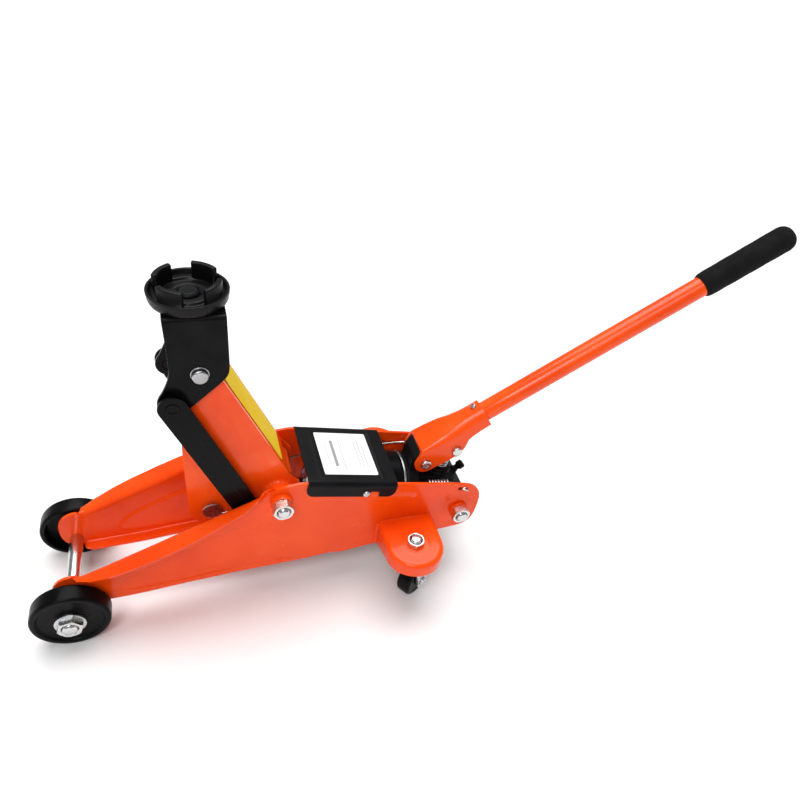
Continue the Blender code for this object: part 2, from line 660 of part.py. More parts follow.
# ------------------------------------------------------------------- power unit
u = (Vector(R) - Vector(T)).normalized()              # ram axis, towards the front
n = Vector((-u.y, u.x))
if n.y < 0:
    n = -n
RAM_LEN = (Vector(R) - Vector(T)).length


def unit_pt(s_, h=0.0):
    p = Vector(T) + u * s_ + n * h
    return (p.x, p.y)


def unit_axis(s_):
    """Local Z along the ram axis towards the front, origin at distance s_."""
    x, z = unit_pt(s_)
    zc = Vector((u.x, 0, u.y))
    yc = Vector((0, 1, 0))
    xc = yc.cross(zc)
    m = Matrix((xc, yc, zc)).transposed().to_4x4()
    return Matrix.Translation(W(x, 0, z)) @ m


CYL_R, BORE_R, ROD_R, PISTON_R = 19.4, 12.4, 8.0, 12.1
GLAND = 146.0
res = turned("reservoir", [(20.0, 138.0), (30.4, 138.0), (31.4, 136.8), (31.4, 57.6), (29.2, 57.6), (29.2, 134.6), (20.0, 134.6)],
             unit_axis(0), BLACK, 24, closed=True)
ringn = turned("reservoir_ring", [(21.0, 57.2), (32.6, 57.2), (32.6, 54.6), (21.0, 54.6)], unit_axis(0), ZINC, 24, closed=True)
cyl = turned("ram_cylinder", [(ROD_R + 0.3, GLAND), (CYL_R - 1.0, GLAND), (CYL_R, GLAND - 1.0), (CYL_R, 54.6), (BORE_R, 54.6),
                              (BORE_R, GLAND - 8.0), (ROD_R + 0.3, GLAND - 8.0)],
             unit_axis(0), STEEL, 24, closed=True)
hang("power_unit_pivot", res, ringn, cyl)

# casting: main block, reservoir flange, trunnion bosses, handle lug, pump boss
cast_pts = rounded([(305.5, 57.0), (352.0, 60.0), (366.5, 66.0), (369.5, 76.0), (360.5, 93.0), (351.0, 98.0), (306.0, 104.5)],
                   [2, 8, 4, 4, 4, 4, 2], 2)
cast = plate_y("pump_casting", [cast_pts], -24.0, 24.0, BLACK)
fl = turned("tool", [(0, 54.2), (31.0, 54.2), (31.0, 42.0), (0, 42.0)], unit_axis(0), BLACK, 28)
boss = rod("tool", W(T[0], -34.1, T[1]), W(T[0], 34.1, T[1]), 13.0, BLACK, 18)
lug_pts = ring_pts(P1[0], P1[1], 12.2, 10, 20, 165) + [(303.5, 103.0), (306.0, 92.0), (330.0, 92.0), (334.0, 100.0)]
lug = plate_y("tool", [lug_pts], -13.4, 13.4, BLACK)
pb0 = Vector(PUMP_AX) + n * (-16.8)
pb1 = Vector(PUMP_AX) + n * (-36.0)
pboss = rod("tool", W(pb1.x, 0, pb1.y), W(pb0.x, 0, pb0.y), 10.5, BLACK, 18)
cast = join(cast, fl, boss, lug, pboss)
pc1 = Vector(PUMP_AX) + n * (-52.0)
pc0 = Vector(PUMP_AX) + n * 5.0
cast = cut(cast,
           rod("cutter", W(*[pc1.x, 0, pc1.y]), W(pc0.x, 0, pc0.y), 4.9, STEEL, 12),
           hole_y(P1[0], P1[1], 5.4, -20, 20, 12),
           rod("cutter", W(T[0], -40, T[1]), W(T[0], -11, T[1]), 7.4, STEEL, 14),
           rod("cutter", W(T[0], 11, T[1]), W(T[0], 40, T[1]), 7.4, STEEL, 14))
vd = Vector((0.743, 0.669))                            # release valve axis
v0 = Vector((354.0, 88.0)) - vd * 14.0
va = v0 + vd * 11.5
v1 = v0 + vd * 40.0
cast = cut(cast, rod("cutter", W(va.x, 0, va.y), W(v1.x, 0, v1.y), 4.2, STEEL, 10))
hang("power_unit_pivot", cast)

for side, s in (("left", -1), ("right", 1)):
    bl = turned("unit_bolt_" + side, [(0, 51.0), (4.4, 51.0), (5.0, 50.4), (5.0, 47.8), (7.0, 47.8), (7.0, 11.4), (0, 11.4)],
                axis_y(T[0], T[1], s), ZINC, 14)
    hx = plate_y("tool", [hexagon(T[0], T[1], 9.2, 15), ring_pts(T[0], T[1], 4.0, 10)], s * 42.0, s * 49.0, ZINC)
    bl = join(bl, hx)
    hang("power_unit_pivot", bl)

# release valve: threaded stem with a cross-slotted head
vz = Vector((vd.x, 0, vd.y))
vm = Matrix.Translation(W(v0.x, 0, v0.y)) @ vz.to_track_quat('Z', 'Y').to_matrix().to_4x4()
vl = turned("release_valve", [(0, 33.0), (3.6, 33.0), (4.4, 32.0), (4.4, 27.2), (3.0, 26.4), (3.0, 24.0), (3.8, 23.2), (3.8, 13.0), (0, 13.0)], vm, BLACK, 12)
hang("valve_pivot", vl)

# ram: piston rod with a crosshead that lies between the arm's ears
ram = turned("ram_rod", [(0, 220.0), (ROD_R, 220.0), (ROD_R, 137.2), (PISTON_R, 137.2), (PISTON_R, 126.2), (0, 126.2)],
             unit_axis(0), STEEL, 20)
cr = rod("tool", W(R[0], -18.8, R[1]), W(R[0], 18.8, R[1]), 13.6, STEEL, 20)
ram = join(ram, cr)
hang("ram_pivot", ram)

# pump plunger with its head, and the spring that lifts it
pm = Matrix.Translation(W(PUMP_AX[0], 0, PUMP_AX[1])) @ Vector((n.x, 0, n.y)).to_track_quat('Z', 'Y').to_matrix().to_4x4()
pl = turned("pump_plunger", [(0, 7.0), (6.0, 7.0), (7.0, 6.2), (7.0, 3.8), (4.5, 3.8), (4.5, -33.0), (0, -33.0)], pm, STEEL, 18)
hang("plunger_pivot", pl)
psp = turned("plunger_spring", [(5.0, 3.4), (6.8, 3.4), (6.8, -16.4), (5.0, -16.4)], pm, ZINC, 16, closed=True)
hang("power_unit_pivot", psp)

# ---------------------------------------------------------------- handle socket
hd = math.radians(HANDLE_DEG)
hx_, kx_ = Vector((math.cos(hd), math.sin(hd))), Vector((-math.sin(hd), math.cos(hd)))


def hp(a, b):
    p = Vector(P1) + hx_ * a + kx_ * b
    return (p.x, p.y)


EAR_OUT, EAR_IN = 17.0, 14.0


def socket():
    """U-shaped pressing that closes to a sleeve round the tube."""
    # station, half width, top, corner radius, bottom, lower curl
    stations = [(4.0, 17.0, 16.6, 5.0, -2.0, 0.0), (16.0, 17.0, 16.8, 6.5, -5.0, 0.0), (30.0, 16.4, 16.8, 9.0, -6.0, 0.0),
                (42.0, 14.6, 16.8, 11.8, -5.5, 1.0), (52.0, 13.3, 17.0, 12.7, -6.0, 3.5), (60.0, 13.0, 17.0, 12.9, -7.0, 6.0),
                (72.0, 13.0, 17.0, 12.9, -7.3, 7.5)]
    verts, faces, rows = [], [], []
    for a, hw, top, r, bot, curl in stations:
        half = [(hw - curl, bot), (hw - curl * 0.35, bot + max(curl * 0.55, 2.0)), (hw, bot + max(curl * 1.3, 4.5))]
        for k in range(3):
            q = math.radians(30 * k)
            half.append((hw - r + r * math.cos(q), top - r + r * math.sin(q)))
        half.append((max(hw - r, 1.2), top))
        sec = [(-y, b) for y, b in half] + [(y, b) for y, b in reversed(half)]
        row = []
        for y, b in sec:
            x, z = hp(a, b)
            verts.append((x, y, z))
            row.append(len(verts) - 1)
        rows.append(row)
    for r0, r1 in zip(rows[:-1], rows[1:]):
        for k in range(len(r0) - 1):
            faces.append([r0[k], r0[k + 1], r1[k + 1], r1[k]])
    return shell("handle_socket", verts, faces, 2.6, ORANGE, offset=1.0)


sk = socket()
ear = ([hp(*p) for p in ring_pts(0, 0, 10.6, 6, 130, 268)] + [hp(33.0, -13.0), hp(37.5, -11.5), hp(46.0, -5.5), hp(47.0, 2.0), hp(20.0, 9.0), hp(6.0, 11.0)])
for t in (-1, 1):
    e = plate_y("tool", [ear], t * (EAR_IN - 0.1), t * (EAR_OUT + 0.3), ORANGE)
    sk = join(sk, e)
pin1 = turned("socket_pin", [(0, 19.6), (4.0, 19.6), (5.0, 18.8), (5.0, -18.8), (4.0, -19.6), (0, -19.6)], axis_y(P1[0], P1[1]), ZINC, 12)
pin2 = turned("roller_pin", [(0, 19.6), (4.0, 19.6), (5.0, 18.8), (5.0, -18.8), (4.0, -19.6), (0, -19.6)], axis_y(P2[0], P2[1]), ZINC, 12)
rol = plate_y("pump_roller", [ring_pts(P2[0], P2[1], 6.6, 20), ring_pts(P2[0], P2[1], 5.3, 20)], -8, 8, STEEL)
hz = Vector((hx_.x, 0, hx_.y))
hm = Matrix.Translation(W(hp(0, HANDLE_B)[0], 0, hp(0, HANDLE_B)[1])) @ hz.to_track_quat('Z', 'Y').to_matrix().to_4x4()
tube = turned("handle_tube", [(TUBE_IN_R, HANDLE_LEN - 9), (TUBE_R, HANDLE_LEN - 9), (TUBE_R, 50.0), (TUBE_IN_R, 50.0)], hm, ORANGE, 24, closed=True)
grip = turned("handle_grip", [(0, HANDLE_LEN), (3.0, HANDLE_LEN), (7.5, HANDLE_LEN - 1.4), (10.6, HANDLE_LEN - 4.2), (GRIP_R, HANDLE_LEN - 8.5),
                              (GRIP_R - 0.4, 308.0), (GRIP_R - 1.0, 301.5), (TUBE_R + 0.3, 300.4), (TUBE_R + 0.3, HANDLE_LEN - 8.5), (0, HANDLE_LEN - 8.5)],
              hm, RUBBER, 20)
hb1 = hp(66.0, 19.4)
hbolt = rod("handle_bolt", W(hp(66.0, 7.0)[0], 0, hp(66.0, 7.0)[1]), W(hb1[0], 0, hb1[1]), 2.6, STEEL, 14)
sk = cut(sk, hole_y(P1[0], P1[1], 5.5, -25, 25, 12), hole_y(P2[0], P2[1], 5.5, -25, 25, 12),
         rod("cutter", W(hp(66.0, 8.0)[0], 0, hp(66.0, 8.0)[1]), W(hp(66, 24)[0], 0, hp(66, 24)[1]), 2.9, STEEL, 14))
tube = cut(tube, rod("cutter", W(hp(66.0, 8.0)[0], 0, hp(66.0, 8.0)[1]), W(hp(66, 24)[0], 0, hp(66, 24)[1]), 2.9, STEEL, 14))
hang("handle_pivot", sk, pin1, pin2, tube, grip, hbolt)
hang("roller_pivot", rol)


# --------------------------------------------------------------- return springs
def return_spring(name, s):
    # (x, |y|, z, radius): hook in the plate's slot, coil, long wire, hook on the ram pin
    path = [(357.0, 38.7, 103.6, 1.0), (354.6, 38.5, 103.9, 1.0), (353.4, 36.6, 104.2, 1.0), (352.4, 33.6, 104.8, 1.0),
            (347.5, 30.4, 104.8, 1.0), (343.6, 29.4, 104.7, 1.0), (343.0, 29.4, 104.7, 4.5), (317.4, 29.4, 108.9, 4.5),
            (316.8, 29.4, 108.9, 1.0), (300.0, 30.8, 108.4, 1.0), (280.0, 32.4, 107.6, 1.0), (215.0, 32.6, 106.8, 1.0),
            (196.0, 30.4, 106.6, 1.0), (170.0, 25.6, 106.0, 1.0), (150.0, 25.0, 105.7, 1.0), (123.2, 25.0, 105.6, 1.0),
            (118.8, 25.0, 107.2, 1.0), (117.0, 25.0, 110.6, 1.0), (117.4, 25.0, 113.6, 1.0)]
    cu = bpy.data.curves.new(name, 'CURVE')
    cu.dimensions = '3D'
    cu.bevel_depth = MM
    cu.bevel_resolution = 1
    cu.use_fill_caps = True
    sp = cu.splines.new('POLY')
    sp.points.add(len(path) - 1)
    for p, (x, y, z, r) in zip(sp.points, path):
        w = W(x, s * y, z)
        p.co = (w.x, w.y, w.z, 1.0)
        p.radius = r
    ob_ = bpy.data.objects.new(name, cu)
    COLL.objects.link(ob_)
    return freeze(ob_, name, ZINC)


for side, s in (("left", -1), ("right", 1)):
    hang("spring_pivot", return_spring("return_spring_" + side, s))

# filler plug on top of the reservoir
px, pz = unit_pt(98.0, 31.4)
plug_m = Matrix.Translation(W(px, 0, pz)) @ Vector((n.x, 0, n.y)).to_track_quat('Z', 'Y').to_matrix().to_4x4()
plug = turned("oil_plug", [(0, 3.0), (4.5, 3.0), (5.5, 2.2), (5.5, 0.35), (3.2, 0.35), (3.2, -5.0), (0, -5.0)], plug_m, RUBBER, 16)
res = bpy.data.objects["reservoir"]
ppar = res.parent
res = cut(res, rod("cutter", W(*[unit_pt(98, 20)[0], 0, unit_pt(98, 20)[1]]), W(unit_pt(98, 40)[0], 0, unit_pt(98, 40)[1]), 3.5, STEEL, 16))
hang("power_unit_pivot", res, plug)
bpy.context.view_layer.update()
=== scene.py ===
# Looks of a small hydraulic trolley jack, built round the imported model.
# Lengths in the design lists are millimetres with X = 0 on the front axle; W() turns them into the row frame.
import math
import random

import bmesh
import bpy
import numpy as np
from mathutils import Matrix, Vector

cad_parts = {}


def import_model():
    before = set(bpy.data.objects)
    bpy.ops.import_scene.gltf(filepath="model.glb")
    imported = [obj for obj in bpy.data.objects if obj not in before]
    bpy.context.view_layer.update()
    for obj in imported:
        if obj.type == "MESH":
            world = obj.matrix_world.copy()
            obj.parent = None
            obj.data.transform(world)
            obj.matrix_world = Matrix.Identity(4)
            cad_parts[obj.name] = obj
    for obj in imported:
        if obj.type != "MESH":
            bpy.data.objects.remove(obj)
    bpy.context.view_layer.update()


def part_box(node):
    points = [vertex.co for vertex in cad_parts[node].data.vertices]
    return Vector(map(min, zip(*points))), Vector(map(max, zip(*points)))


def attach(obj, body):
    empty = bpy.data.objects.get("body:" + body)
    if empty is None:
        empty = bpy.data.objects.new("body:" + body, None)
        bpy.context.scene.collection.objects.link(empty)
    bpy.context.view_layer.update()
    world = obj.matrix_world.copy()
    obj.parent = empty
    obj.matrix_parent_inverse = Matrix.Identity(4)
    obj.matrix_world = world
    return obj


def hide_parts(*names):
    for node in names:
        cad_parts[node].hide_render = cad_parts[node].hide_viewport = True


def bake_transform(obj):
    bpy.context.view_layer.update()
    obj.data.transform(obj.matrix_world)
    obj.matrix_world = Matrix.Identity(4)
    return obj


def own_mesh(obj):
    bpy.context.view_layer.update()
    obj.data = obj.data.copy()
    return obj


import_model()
SCENE = bpy.context.scene

MM = 0.001
# the front axle's centre gives the shift between the design lists and the row frame
_lo, _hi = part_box("front_axle")
X_SHIFT = (_lo.x + _hi.x) / 2

WHEEL_R = 32.0
WHEEL_IN, WHEEL_OUT = 41.5, 57.5
PLATE_IN, PLATE_OUT = 34.5, 37.0
LINK_IN, LINK_OUT = 30.7, 33.3
HUB_R = 11.0
BRACKET_IN, BRACKET_OUT = 23.5, 26.5
ARM_IN, ARM_OUT = 20.2, 23.2
M = (180.5, 123.0)
A = (122.8, 257.9)
V_PAR = (-21.3, -24.6)
L = (M[0] + V_PAR[0], M[1] + V_PAR[1])
B = (A[0] + V_PAR[0], A[1] + V_PAR[1])
R = (123.2, 112.0)
T = (352.5, 77.7)
P1 = (319.5, 124.0)
P2 = (349.3, 135.2)
PUMP_AX = (346.2, 120.0)
SADDLE = (120.4, 315.5)
SADDLE_R = 28.8
CASTER = (299.0, 69.0)
CASTER_R = 19.0
CASTER_TRAIL = 9.0
CASTER_YAW = math.radians(35.0)
PLATE_SLOPE = math.atan2(30.8, 152.3)
HANDLE_DEG = 33.1
HANDLE_B = 4.0
TUBE_R = 9.5
GRIP_R = 12.0
HANDLE_LEN = 392.0


def W(x, y, z):
    return Vector((x * MM + X_SHIFT, y * MM, z * MM))


# ------------------------------------------------------------------ node trees
class Tree:
    """A short way to write a Principled material."""

    def __init__(self, name):
        self.mat = bpy.data.materials.new(name)
        self.mat.use_nodes = True
        self.nt = self.mat.node_tree
        self.b = self.nt.nodes["Principled BSDF"]
        self.co = self.node("ShaderNodeTexCoord").outputs["Object"]

    def node(self, kind, **props):
        n = self.nt.nodes.new(kind)
        for k, v in props.items():
            setattr(n, k, v)
        return n

    def link(self, a, b):
        self.nt.links.new(a, b)

    def noise(self, scale, detail=4.0, rough=0.5, stretch=None, dist=0.0):
        co = self.co
        if stretch:
            m = self.node("ShaderNodeMapping")
            m.inputs["Scale"].default_value = stretch
            self.link(co, m.inputs["Vector"])
            co = m.outputs["Vector"]
        n = self.node("ShaderNodeTexNoise")
        n.inputs["Scale"].default_value = scale
        n.inputs["Detail"].default_value = detail
        n.inputs["Roughness"].default_value = rough
        n.inputs["Distortion"].default_value = dist
        self.link(co, n.inputs["Vector"])
        return n.outputs["Fac"]

    def ramp(self, fac, stops):
        r = self.node("ShaderNodeValToRGB")
        els = r.color_ramp.elements
        while len(els) < len(stops):
            els.new(0.5)
        for e, (p, c) in zip(els, stops):
            e.position = p
            e.color = (*c, 1.0) if len(c) == 3 else c
        self.link(fac, r.inputs["Fac"])
        return r.outputs["Color"]

    def grey(self, fac, stops):
        return self.ramp(fac, [(p, (v, v, v)) for p, v in stops])

    def mix(self, fac, a, b):
        m = self.node("ShaderNodeMix", data_type='RGBA')
        for sock, val in ((m.inputs[0], fac), (m.inputs[6], a), (m.inputs[7], b)):
            if isinstance(val, (int, float)):
                sock.default_value = val
            elif isinstance(val, tuple):
                sock.default_value = (*val, 1.0)
            else:
                self.link(val, sock)
        return m.outputs[2]

    def math(self, op, a, b=None, c=None):
        m = self.node("ShaderNodeMath", operation=op)
        for i, v in enumerate((a, b, c)):
            if v is None:
                continue
            if isinstance(v, (int, float)):
                m.inputs[i].default_value = v
            else:
                self.link(v, m.inputs[i])
        return m.outputs[0]

    def edges(self, lo=0.52, hi=0.60):
        g = self.node("ShaderNodeNewGeometry")
        return self.grey(g.outputs["Pointiness"], [(lo, 0.0), (hi, 1.0)])

    def bump(self, height, strength, distance):
        n = self.node("ShaderNodeBump")
        n.inputs["Strength"].default_value = strength
        n.inputs["Distance"].default_value = distance
        self.link(height, n.inputs["Height"])
        self.link(n.outputs["Normal"], self.b.inputs["Normal"])

    def set(self, **kw):
        names = {"color": "Base Color", "rough": "Roughness", "metal": "Metallic", "coat": "Coat Weight",
                 "coat_rough": "Coat Roughness", "spec": "Specular IOR Level", "sheen": "Sheen Weight"}
        for k, v in kw.items():
            s = self.b.inputs[names[k]]
            if isinstance(v, tuple):
                s.default_value = (*v, 1.0)
            elif isinstance(v, (int, float)):
                s.default_value = v
            else:
                self.link(v, s)


def paint(name, base, deep, bright, rough=(0.16, 0.30), coat=0.6, edge=None, peel=0.08, spec=0.5):
    t = Tree(name)
    cloud = t.noise(16.0, 3.0)
    col = t.ramp(cloud, [(0.30, deep), (0.55, base), (0.80, bright)])
    speck = t.grey(t.noise(420.0, 2.0, 0.6), [(0.72, 0.0), (0.78, 1.0)])
    col = t.mix(t.math('MULTIPLY', speck, 0.25), col, tuple(c * 0.55 for c in deep))
    # sharp edges are lightened towards the edge colour, broken up by noise: partly paint wear, partly a painted
    # highlight along the edges
    edge_wear_and_highlight = t.math('MULTIPLY', t.edges(0.53, 0.62), t.grey(t.noise(60.0, 5.0), [(0.42, 0.0), (0.62, 1.0)]))
    col = t.mix(t.math('MULTIPLY', edge_wear_and_highlight, 0.55), col, edge or bright)
    r = t.grey(t.noise(34.0, 5.0, 0.6), [(0.3, rough[0]), (0.7, rough[1])])
    t.set(color=col, rough=r, metal=0.0, coat=coat, coat_rough=0.07, spec=spec)
    h = t.math('ADD', t.noise(380.0, 2.0), t.math('MULTIPLY', t.noise(90.0, 3.0), 1.4))
    t.bump(h, peel, 0.0004)
    return t.mat


def plated(name, base=(0.58, 0.59, 0.60), rough=(0.20, 0.38), brushed=(1, 1, 1), tint=(0.62, 0.60, 0.52), bump=0.10):
    t = Tree(name)
    col = t.ramp(t.noise(45.0, 4.0), [(0.30, tint), (0.52, base), (0.8, tuple(min(1, c * 1.18) for c in base))])
    grime = t.math('MULTIPLY', t.grey(t.noise(140.0, 6.0, 0.65), [(0.58, 0.0), (0.75, 1.0)]), 0.35)
    col = t.mix(grime, col, tuple(c * 0.42 for c in base))
    col = t.mix(t.math('MULTIPLY', t.edges(), 0.5), col, (0.86, 0.86, 0.86))
    r = t.grey(t.noise(260.0, 4.0, 0.6, stretch=brushed), [(0.3, rough[0]), (0.7, rough[1])])
    t.set(color=col, rough=r, metal=1.0)
    t.bump(t.noise(700.0, 3.0, 0.6, stretch=brushed), bump, 0.0003)
    return t.mat


def plastic(name, base=(0.011, 0.011, 0.012), rough=(0.34, 0.52), grain=0.12, scale=900.0, scuff=(0.06, 0.06, 0.062), coat=0.0, spec=0.2, dusty=0.30):
    t = Tree(name)
    col = t.ramp(t.noise(30.0, 4.0), [(0.3, tuple(c * 0.7 for c in base)), (0.7, tuple(c * 1.5 for c in base))])
    s = t.math('MULTIPLY', t.edges(0.53, 0.66), t.grey(t.noise(85.0, 6.0, 0.7), [(0.45, 0.0), (0.65, 1.0)]))
    col = t.mix(t.math('MULTIPLY', s, 0.7), col, scuff)
    dust = t.math('MULTIPLY', t.grey(t.noise(210.0, 8.0, 0.75), [(0.60, 0.0), (0.80, 1.0)]), dusty)
    col = t.mix(dust, col, tuple(c * 0.6 for c in scuff))
    r = t.grey(t.noise(70.0, 5.0, 0.6), [(0.3, rough[0]), (0.7, rough[1])])
    t.set(color=col, rough=r, metal=0.0, coat=coat, coat_rough=0.12, spec=spec)
    t.bump(t.noise(scale, 3.0, 0.6), grain, 0.0003)
    return t.mat


def foam(name):
    t = Tree(name)
    v = t.node("ShaderNodeTexVoronoi")
    v.inputs["Scale"].default_value = 1500.0
    t.link(t.co, v.inputs["Vector"])
    cell = t.grey(v.outputs["Distance"], [(0.0, 0.0), (0.55, 1.0)])
    col = t.ramp(t.noise(55.0, 5.0), [(0.3, (0.0030, 0.0030, 0.0030)), (0.7, (0.0075, 0.0075, 0.0080))])
    col = t.mix(t.math('MULTIPLY', cell, 0.35), col, (0.013, 0.013, 0.0135))
    t.set(color=col, rough=t.grey(t.noise(120.0, 4.0), [(0.3, 0.72), (0.7, 0.92)]), metal=0.0, sheen=0.0, spec=0.10)
    t.bump(t.math('ADD', cell, t.noise(300.0, 4.0)), 0.45, 0.0005)
    return t.mat


def cast(name):
    t = Tree(name)
    col = t.ramp(t.noise(40.0, 5.0), [(0.3, (0.0030, 0.0030, 0.0034)), (0.7, (0.0090, 0.0090, 0.0100))])
    col = t.mix(t.math('MULTIPLY', t.edges(0.54, 0.66), 0.35), col, (0.05, 0.05, 0.053))
    t.set(color=col, rough=t.grey(t.noise(65.0, 5.0), [(0.3, 0.26), (0.7, 0.50)]), metal=0.0, coat=0.03, coat_rough=0.2, spec=0.09)
    t.bump(t.math('ADD', t.noise(480.0, 5.0, 0.7), t.math('MULTIPLY', t.noise(160.0, 4.0), 1.2)), 0.32, 0.0006)
    return t.mat


def print_label(name, origin, ex, ey):
    """White film with a few plain grey rules; origin and the two directions are in the row frame."""
    t = Tree(name)
    sub = t.node("ShaderNodeVectorMath", operation='SUBTRACT')
    t.link(t.co, sub.inputs[0])
    sub.inputs[1].default_value = origin

    def along(d):
        n = t.node("ShaderNodeVectorMath", operation='DOT_PRODUCT')
        t.link(sub.outputs[0], n.inputs[0])
        n.inputs[1].default_value = d
        return t.math('MULTIPLY', n.outputs["Value"], 1000.0)
    px, py = along(ex), along(ey)

    def bar(cx, cy, hx, hy):
        a = t.math('LESS_THAN', t.math('ABSOLUTE', t.math('SUBTRACT', px, cx)), hx)
        b = t.math('LESS_THAN', t.math('ABSOLUTE', t.math('SUBTRACT', py, cy)), hy)
        return t.math('MULTIPLY', a, b)
    marks = None
    for cx, cy, hx, hy, k in [(14.0, 0.0, 1.5, 17.0, 0.75), (21.5, 0.0, 0.35, 21.0, 0.6), (36.5, 0.0, 0.5, 17.0, 0.5),
                              (40.0, 0.0, 0.5, 17.0, 0.5), (43.5, -3.0, 0.5, 14.0, 0.5), (7.5, 0.0, 0.5, 11.0, 0.45)]:
        m = t.math('MULTIPLY', bar(cx, cy, hx, hy), k)
        marks = m if marks is None else t.math('MAXIMUM', marks, m)
    col = t.ramp(t.noise(40.0, 4.0), [(0.3, (0.80, 0.80, 0.79)), (0.7, (0.90, 0.90, 0.89))])
    col = t.mix(marks, col, (0.10, 0.10, 0.11))
    t.set(color=col, rough=t.grey(t.noise(90.0, 3.0), [(0.3, 0.32), (0.7, 0.48)]), metal=0.0)
    t.bump(t.noise(500.0, 3.0), 0.05, 0.0002)
    return t.mat


def strip_film(name):
    t = Tree(name)
    col = t.ramp(t.noise(30.0, 4.0), [(0.3, (0.86, 0.56, 0.012)), (0.7, (0.95, 0.72, 0.04))])
    col = t.mix(t.math('MULTIPLY', t.edges(0.52, 0.58), 0.5), col, (0.55, 0.33, 0.02))
    t.set(color=col, rough=t.grey(t.noise(80.0, 4.0), [(0.3, 0.62), (0.7, 0.78)]), metal=0.0, spec=0.05)
    t.bump(t.noise(260.0, 4.0), 0.08, 0.0003)
    return t.mat


ORANGE = paint("orange_gloss", (0.90, 0.072, 0.003), (0.80, 0.052, 0.002), (0.94, 0.092, 0.005), edge=(0.98, 0.24, 0.07), coat=0.22, spec=0.16)
ORANGE_TUBE = paint("orange_gloss_tube", (0.90, 0.080, 0.003), (0.80, 0.058, 0.002), (0.94, 0.10, 0.005), edge=(0.98, 0.24, 0.07), peel=0.05, coat=0.26, spec=0.2)
BLACK = paint("black_gloss", (0.0026, 0.0026, 0.0030), (0.0016, 0.0016, 0.0018), (0.0045, 0.0045, 0.0050), rough=(0.20, 0.36), coat=0.03,
              edge=(0.03, 0.03, 0.032), peel=0.10, spec=0.07)
BLACK_SATIN = paint("black_satin", (0.0042, 0.0044, 0.0052), (0.0030, 0.0031, 0.0035), (0.0068, 0.0070, 0.0078), rough=(0.34, 0.50), coat=0.02,
                    edge=(0.05, 0.05, 0.054), peel=0.14, spec=0.10)
SADDLE_BLACK = plastic("saddle_black", (0.0040, 0.0040, 0.0045), (0.26, 0.44), 0.22, 420.0, (0.07, 0.07, 0.073), coat=0.03, spec=0.12, dusty=0.10)
WHEEL_BLACK = plastic("wheel_black", (0.0022, 0.0022, 0.0024), (0.24, 0.42), 0.08, 800.0, (0.020, 0.020, 0.021), coat=0.02, spec=0.07, dusty=0.08)
ZINC = plated("zinc_plate")
ZINC_TURNED = plated("zinc_turned", rough=(0.16, 0.30), brushed=(1, 22, 1), bump=0.08)
STEEL = plated("oiled_steel", (0.36, 0.36, 0.37), (0.22, 0.40), tint=(0.30, 0.27, 0.22))
CHROME = plated("ground_rod", (0.60, 0.61, 0.62), (0.10, 0.20), bump=0.04)
SPRING_WIRE = plated("spring_wire", (0.60, 0.60, 0.61), (0.18, 0.32))
FOAM = foam("grip_foam")
CAST = cast("cast_black")
YELLOW = strip_film("yellow_strip")


# ----------------------------------------------------------------- mesh helpers
def obj(name, me, mat=None):
    ob = bpy.data.objects.new(name, me)
    SCENE.collection.objects.link(ob)
    if mat is not None:
        me.materials.clear()
        me.materials.append(mat)
    return ob


def smooth(me, angle=40):
    me.shade_smooth()
    me.set_sharp_from_angle(angle=math.radians(angle))


def clean(me, dist=1e-5):
    bm = bmesh.new()
    bm.from_mesh(me)
    bmesh.ops.remove_doubles(bm, verts=bm.verts, dist=dist)
    bmesh.ops.dissolve_degenerate(bm, dist=1e-7, edges=bm.edges)
    bmesh.ops.recalc_face_normals(bm, faces=bm.faces)
    bm.to_mesh(me)
    bm.free()
    return me


def evaluated(ob):
    bpy.context.view_layer.update()
    dg = bpy.context.evaluated_depsgraph_get()
    return bpy.data.meshes.new_from_object(ob.evaluated_get(dg))


def bake(ob, weld=True, dist=1e-6):
    """The object with its modifiers and place applied to its mesh."""
    me = evaluated(ob)
    me.transform(ob.matrix_world)
    if weld:
        clean(me, dist)
    nm = ob.name
    mats = [m for m in ob.data.materials] if ob.data.materials else []
    bpy.data.objects.remove(ob, do_unlink=True)
    new = obj(nm, me)
    me.materials.clear()
    for m in mats:
        me.materials.append(m)
    return new


def frame_y(y=0.0):
    return Matrix.Translation((X_SHIFT, y * MM, 0.0)) @ Matrix.Rotation(math.pi / 2, 4, 'X')


def frame_z(x, y, z):
    return Matrix.Translation(W(x, y, z))


def axis_y(x, z, sign=1.0):
    return Matrix.Translation(W(x, 0, z)) @ Matrix.Rotation(-sign * math.pi / 2, 4, 'X')


def extrude(name, loops, thick, matrix, mat=None):
    cu = bpy.data.curves.new(name, 'CURVE')
    cu.dimensions = '2D'
    cu.fill_mode = 'BOTH'
    cu.extrude = thick * MM / 2
    for lp in loops:
        sp = cu.splines.new('POLY')
        sp.points.add(len(lp) - 1)
        for p, (x, y) in zip(sp.points, lp):
            p.co = (x * MM, y * MM, 0.0, 1.0)
        sp.use_cyclic_u = True
    ob = bpy.data.objects.new(name, cu)
    SCENE.collection.objects.link(ob)
    ob.matrix_world = matrix
    me = evaluated(ob)
    me.transform(matrix)
    clean(me)
    bm = bmesh.new()
    bm.from_mesh(me)
    # caps become single flat faces where they have no hole
    bmesh.ops.dissolve_limit(bm, angle_limit=math.radians(0.5), verts=bm.verts, edges=bm.edges)
    bm.to_mesh(me)
    bm.free()
    bpy.data.objects.remove(ob, do_unlink=True)
    return obj(name, me, mat)


def plate_y(name, loops, y0, y1, mat=None):
    return extrude(name, loops, abs(y1 - y0), frame_y((y0 + y1) / 2), mat)


def ring_pts(cx, cy, r, n=48, a0=0.0, a1=360.0):
    full = abs(a1 - a0) >= 359.9
    m = n if full else n + 1
    return [(cx + r * math.cos(math.radians(a0 + (a1 - a0) * i / n)),
             cy + r * math.sin(math.radians(a0 + (a1 - a0) * i / n))) for i in range(m)]


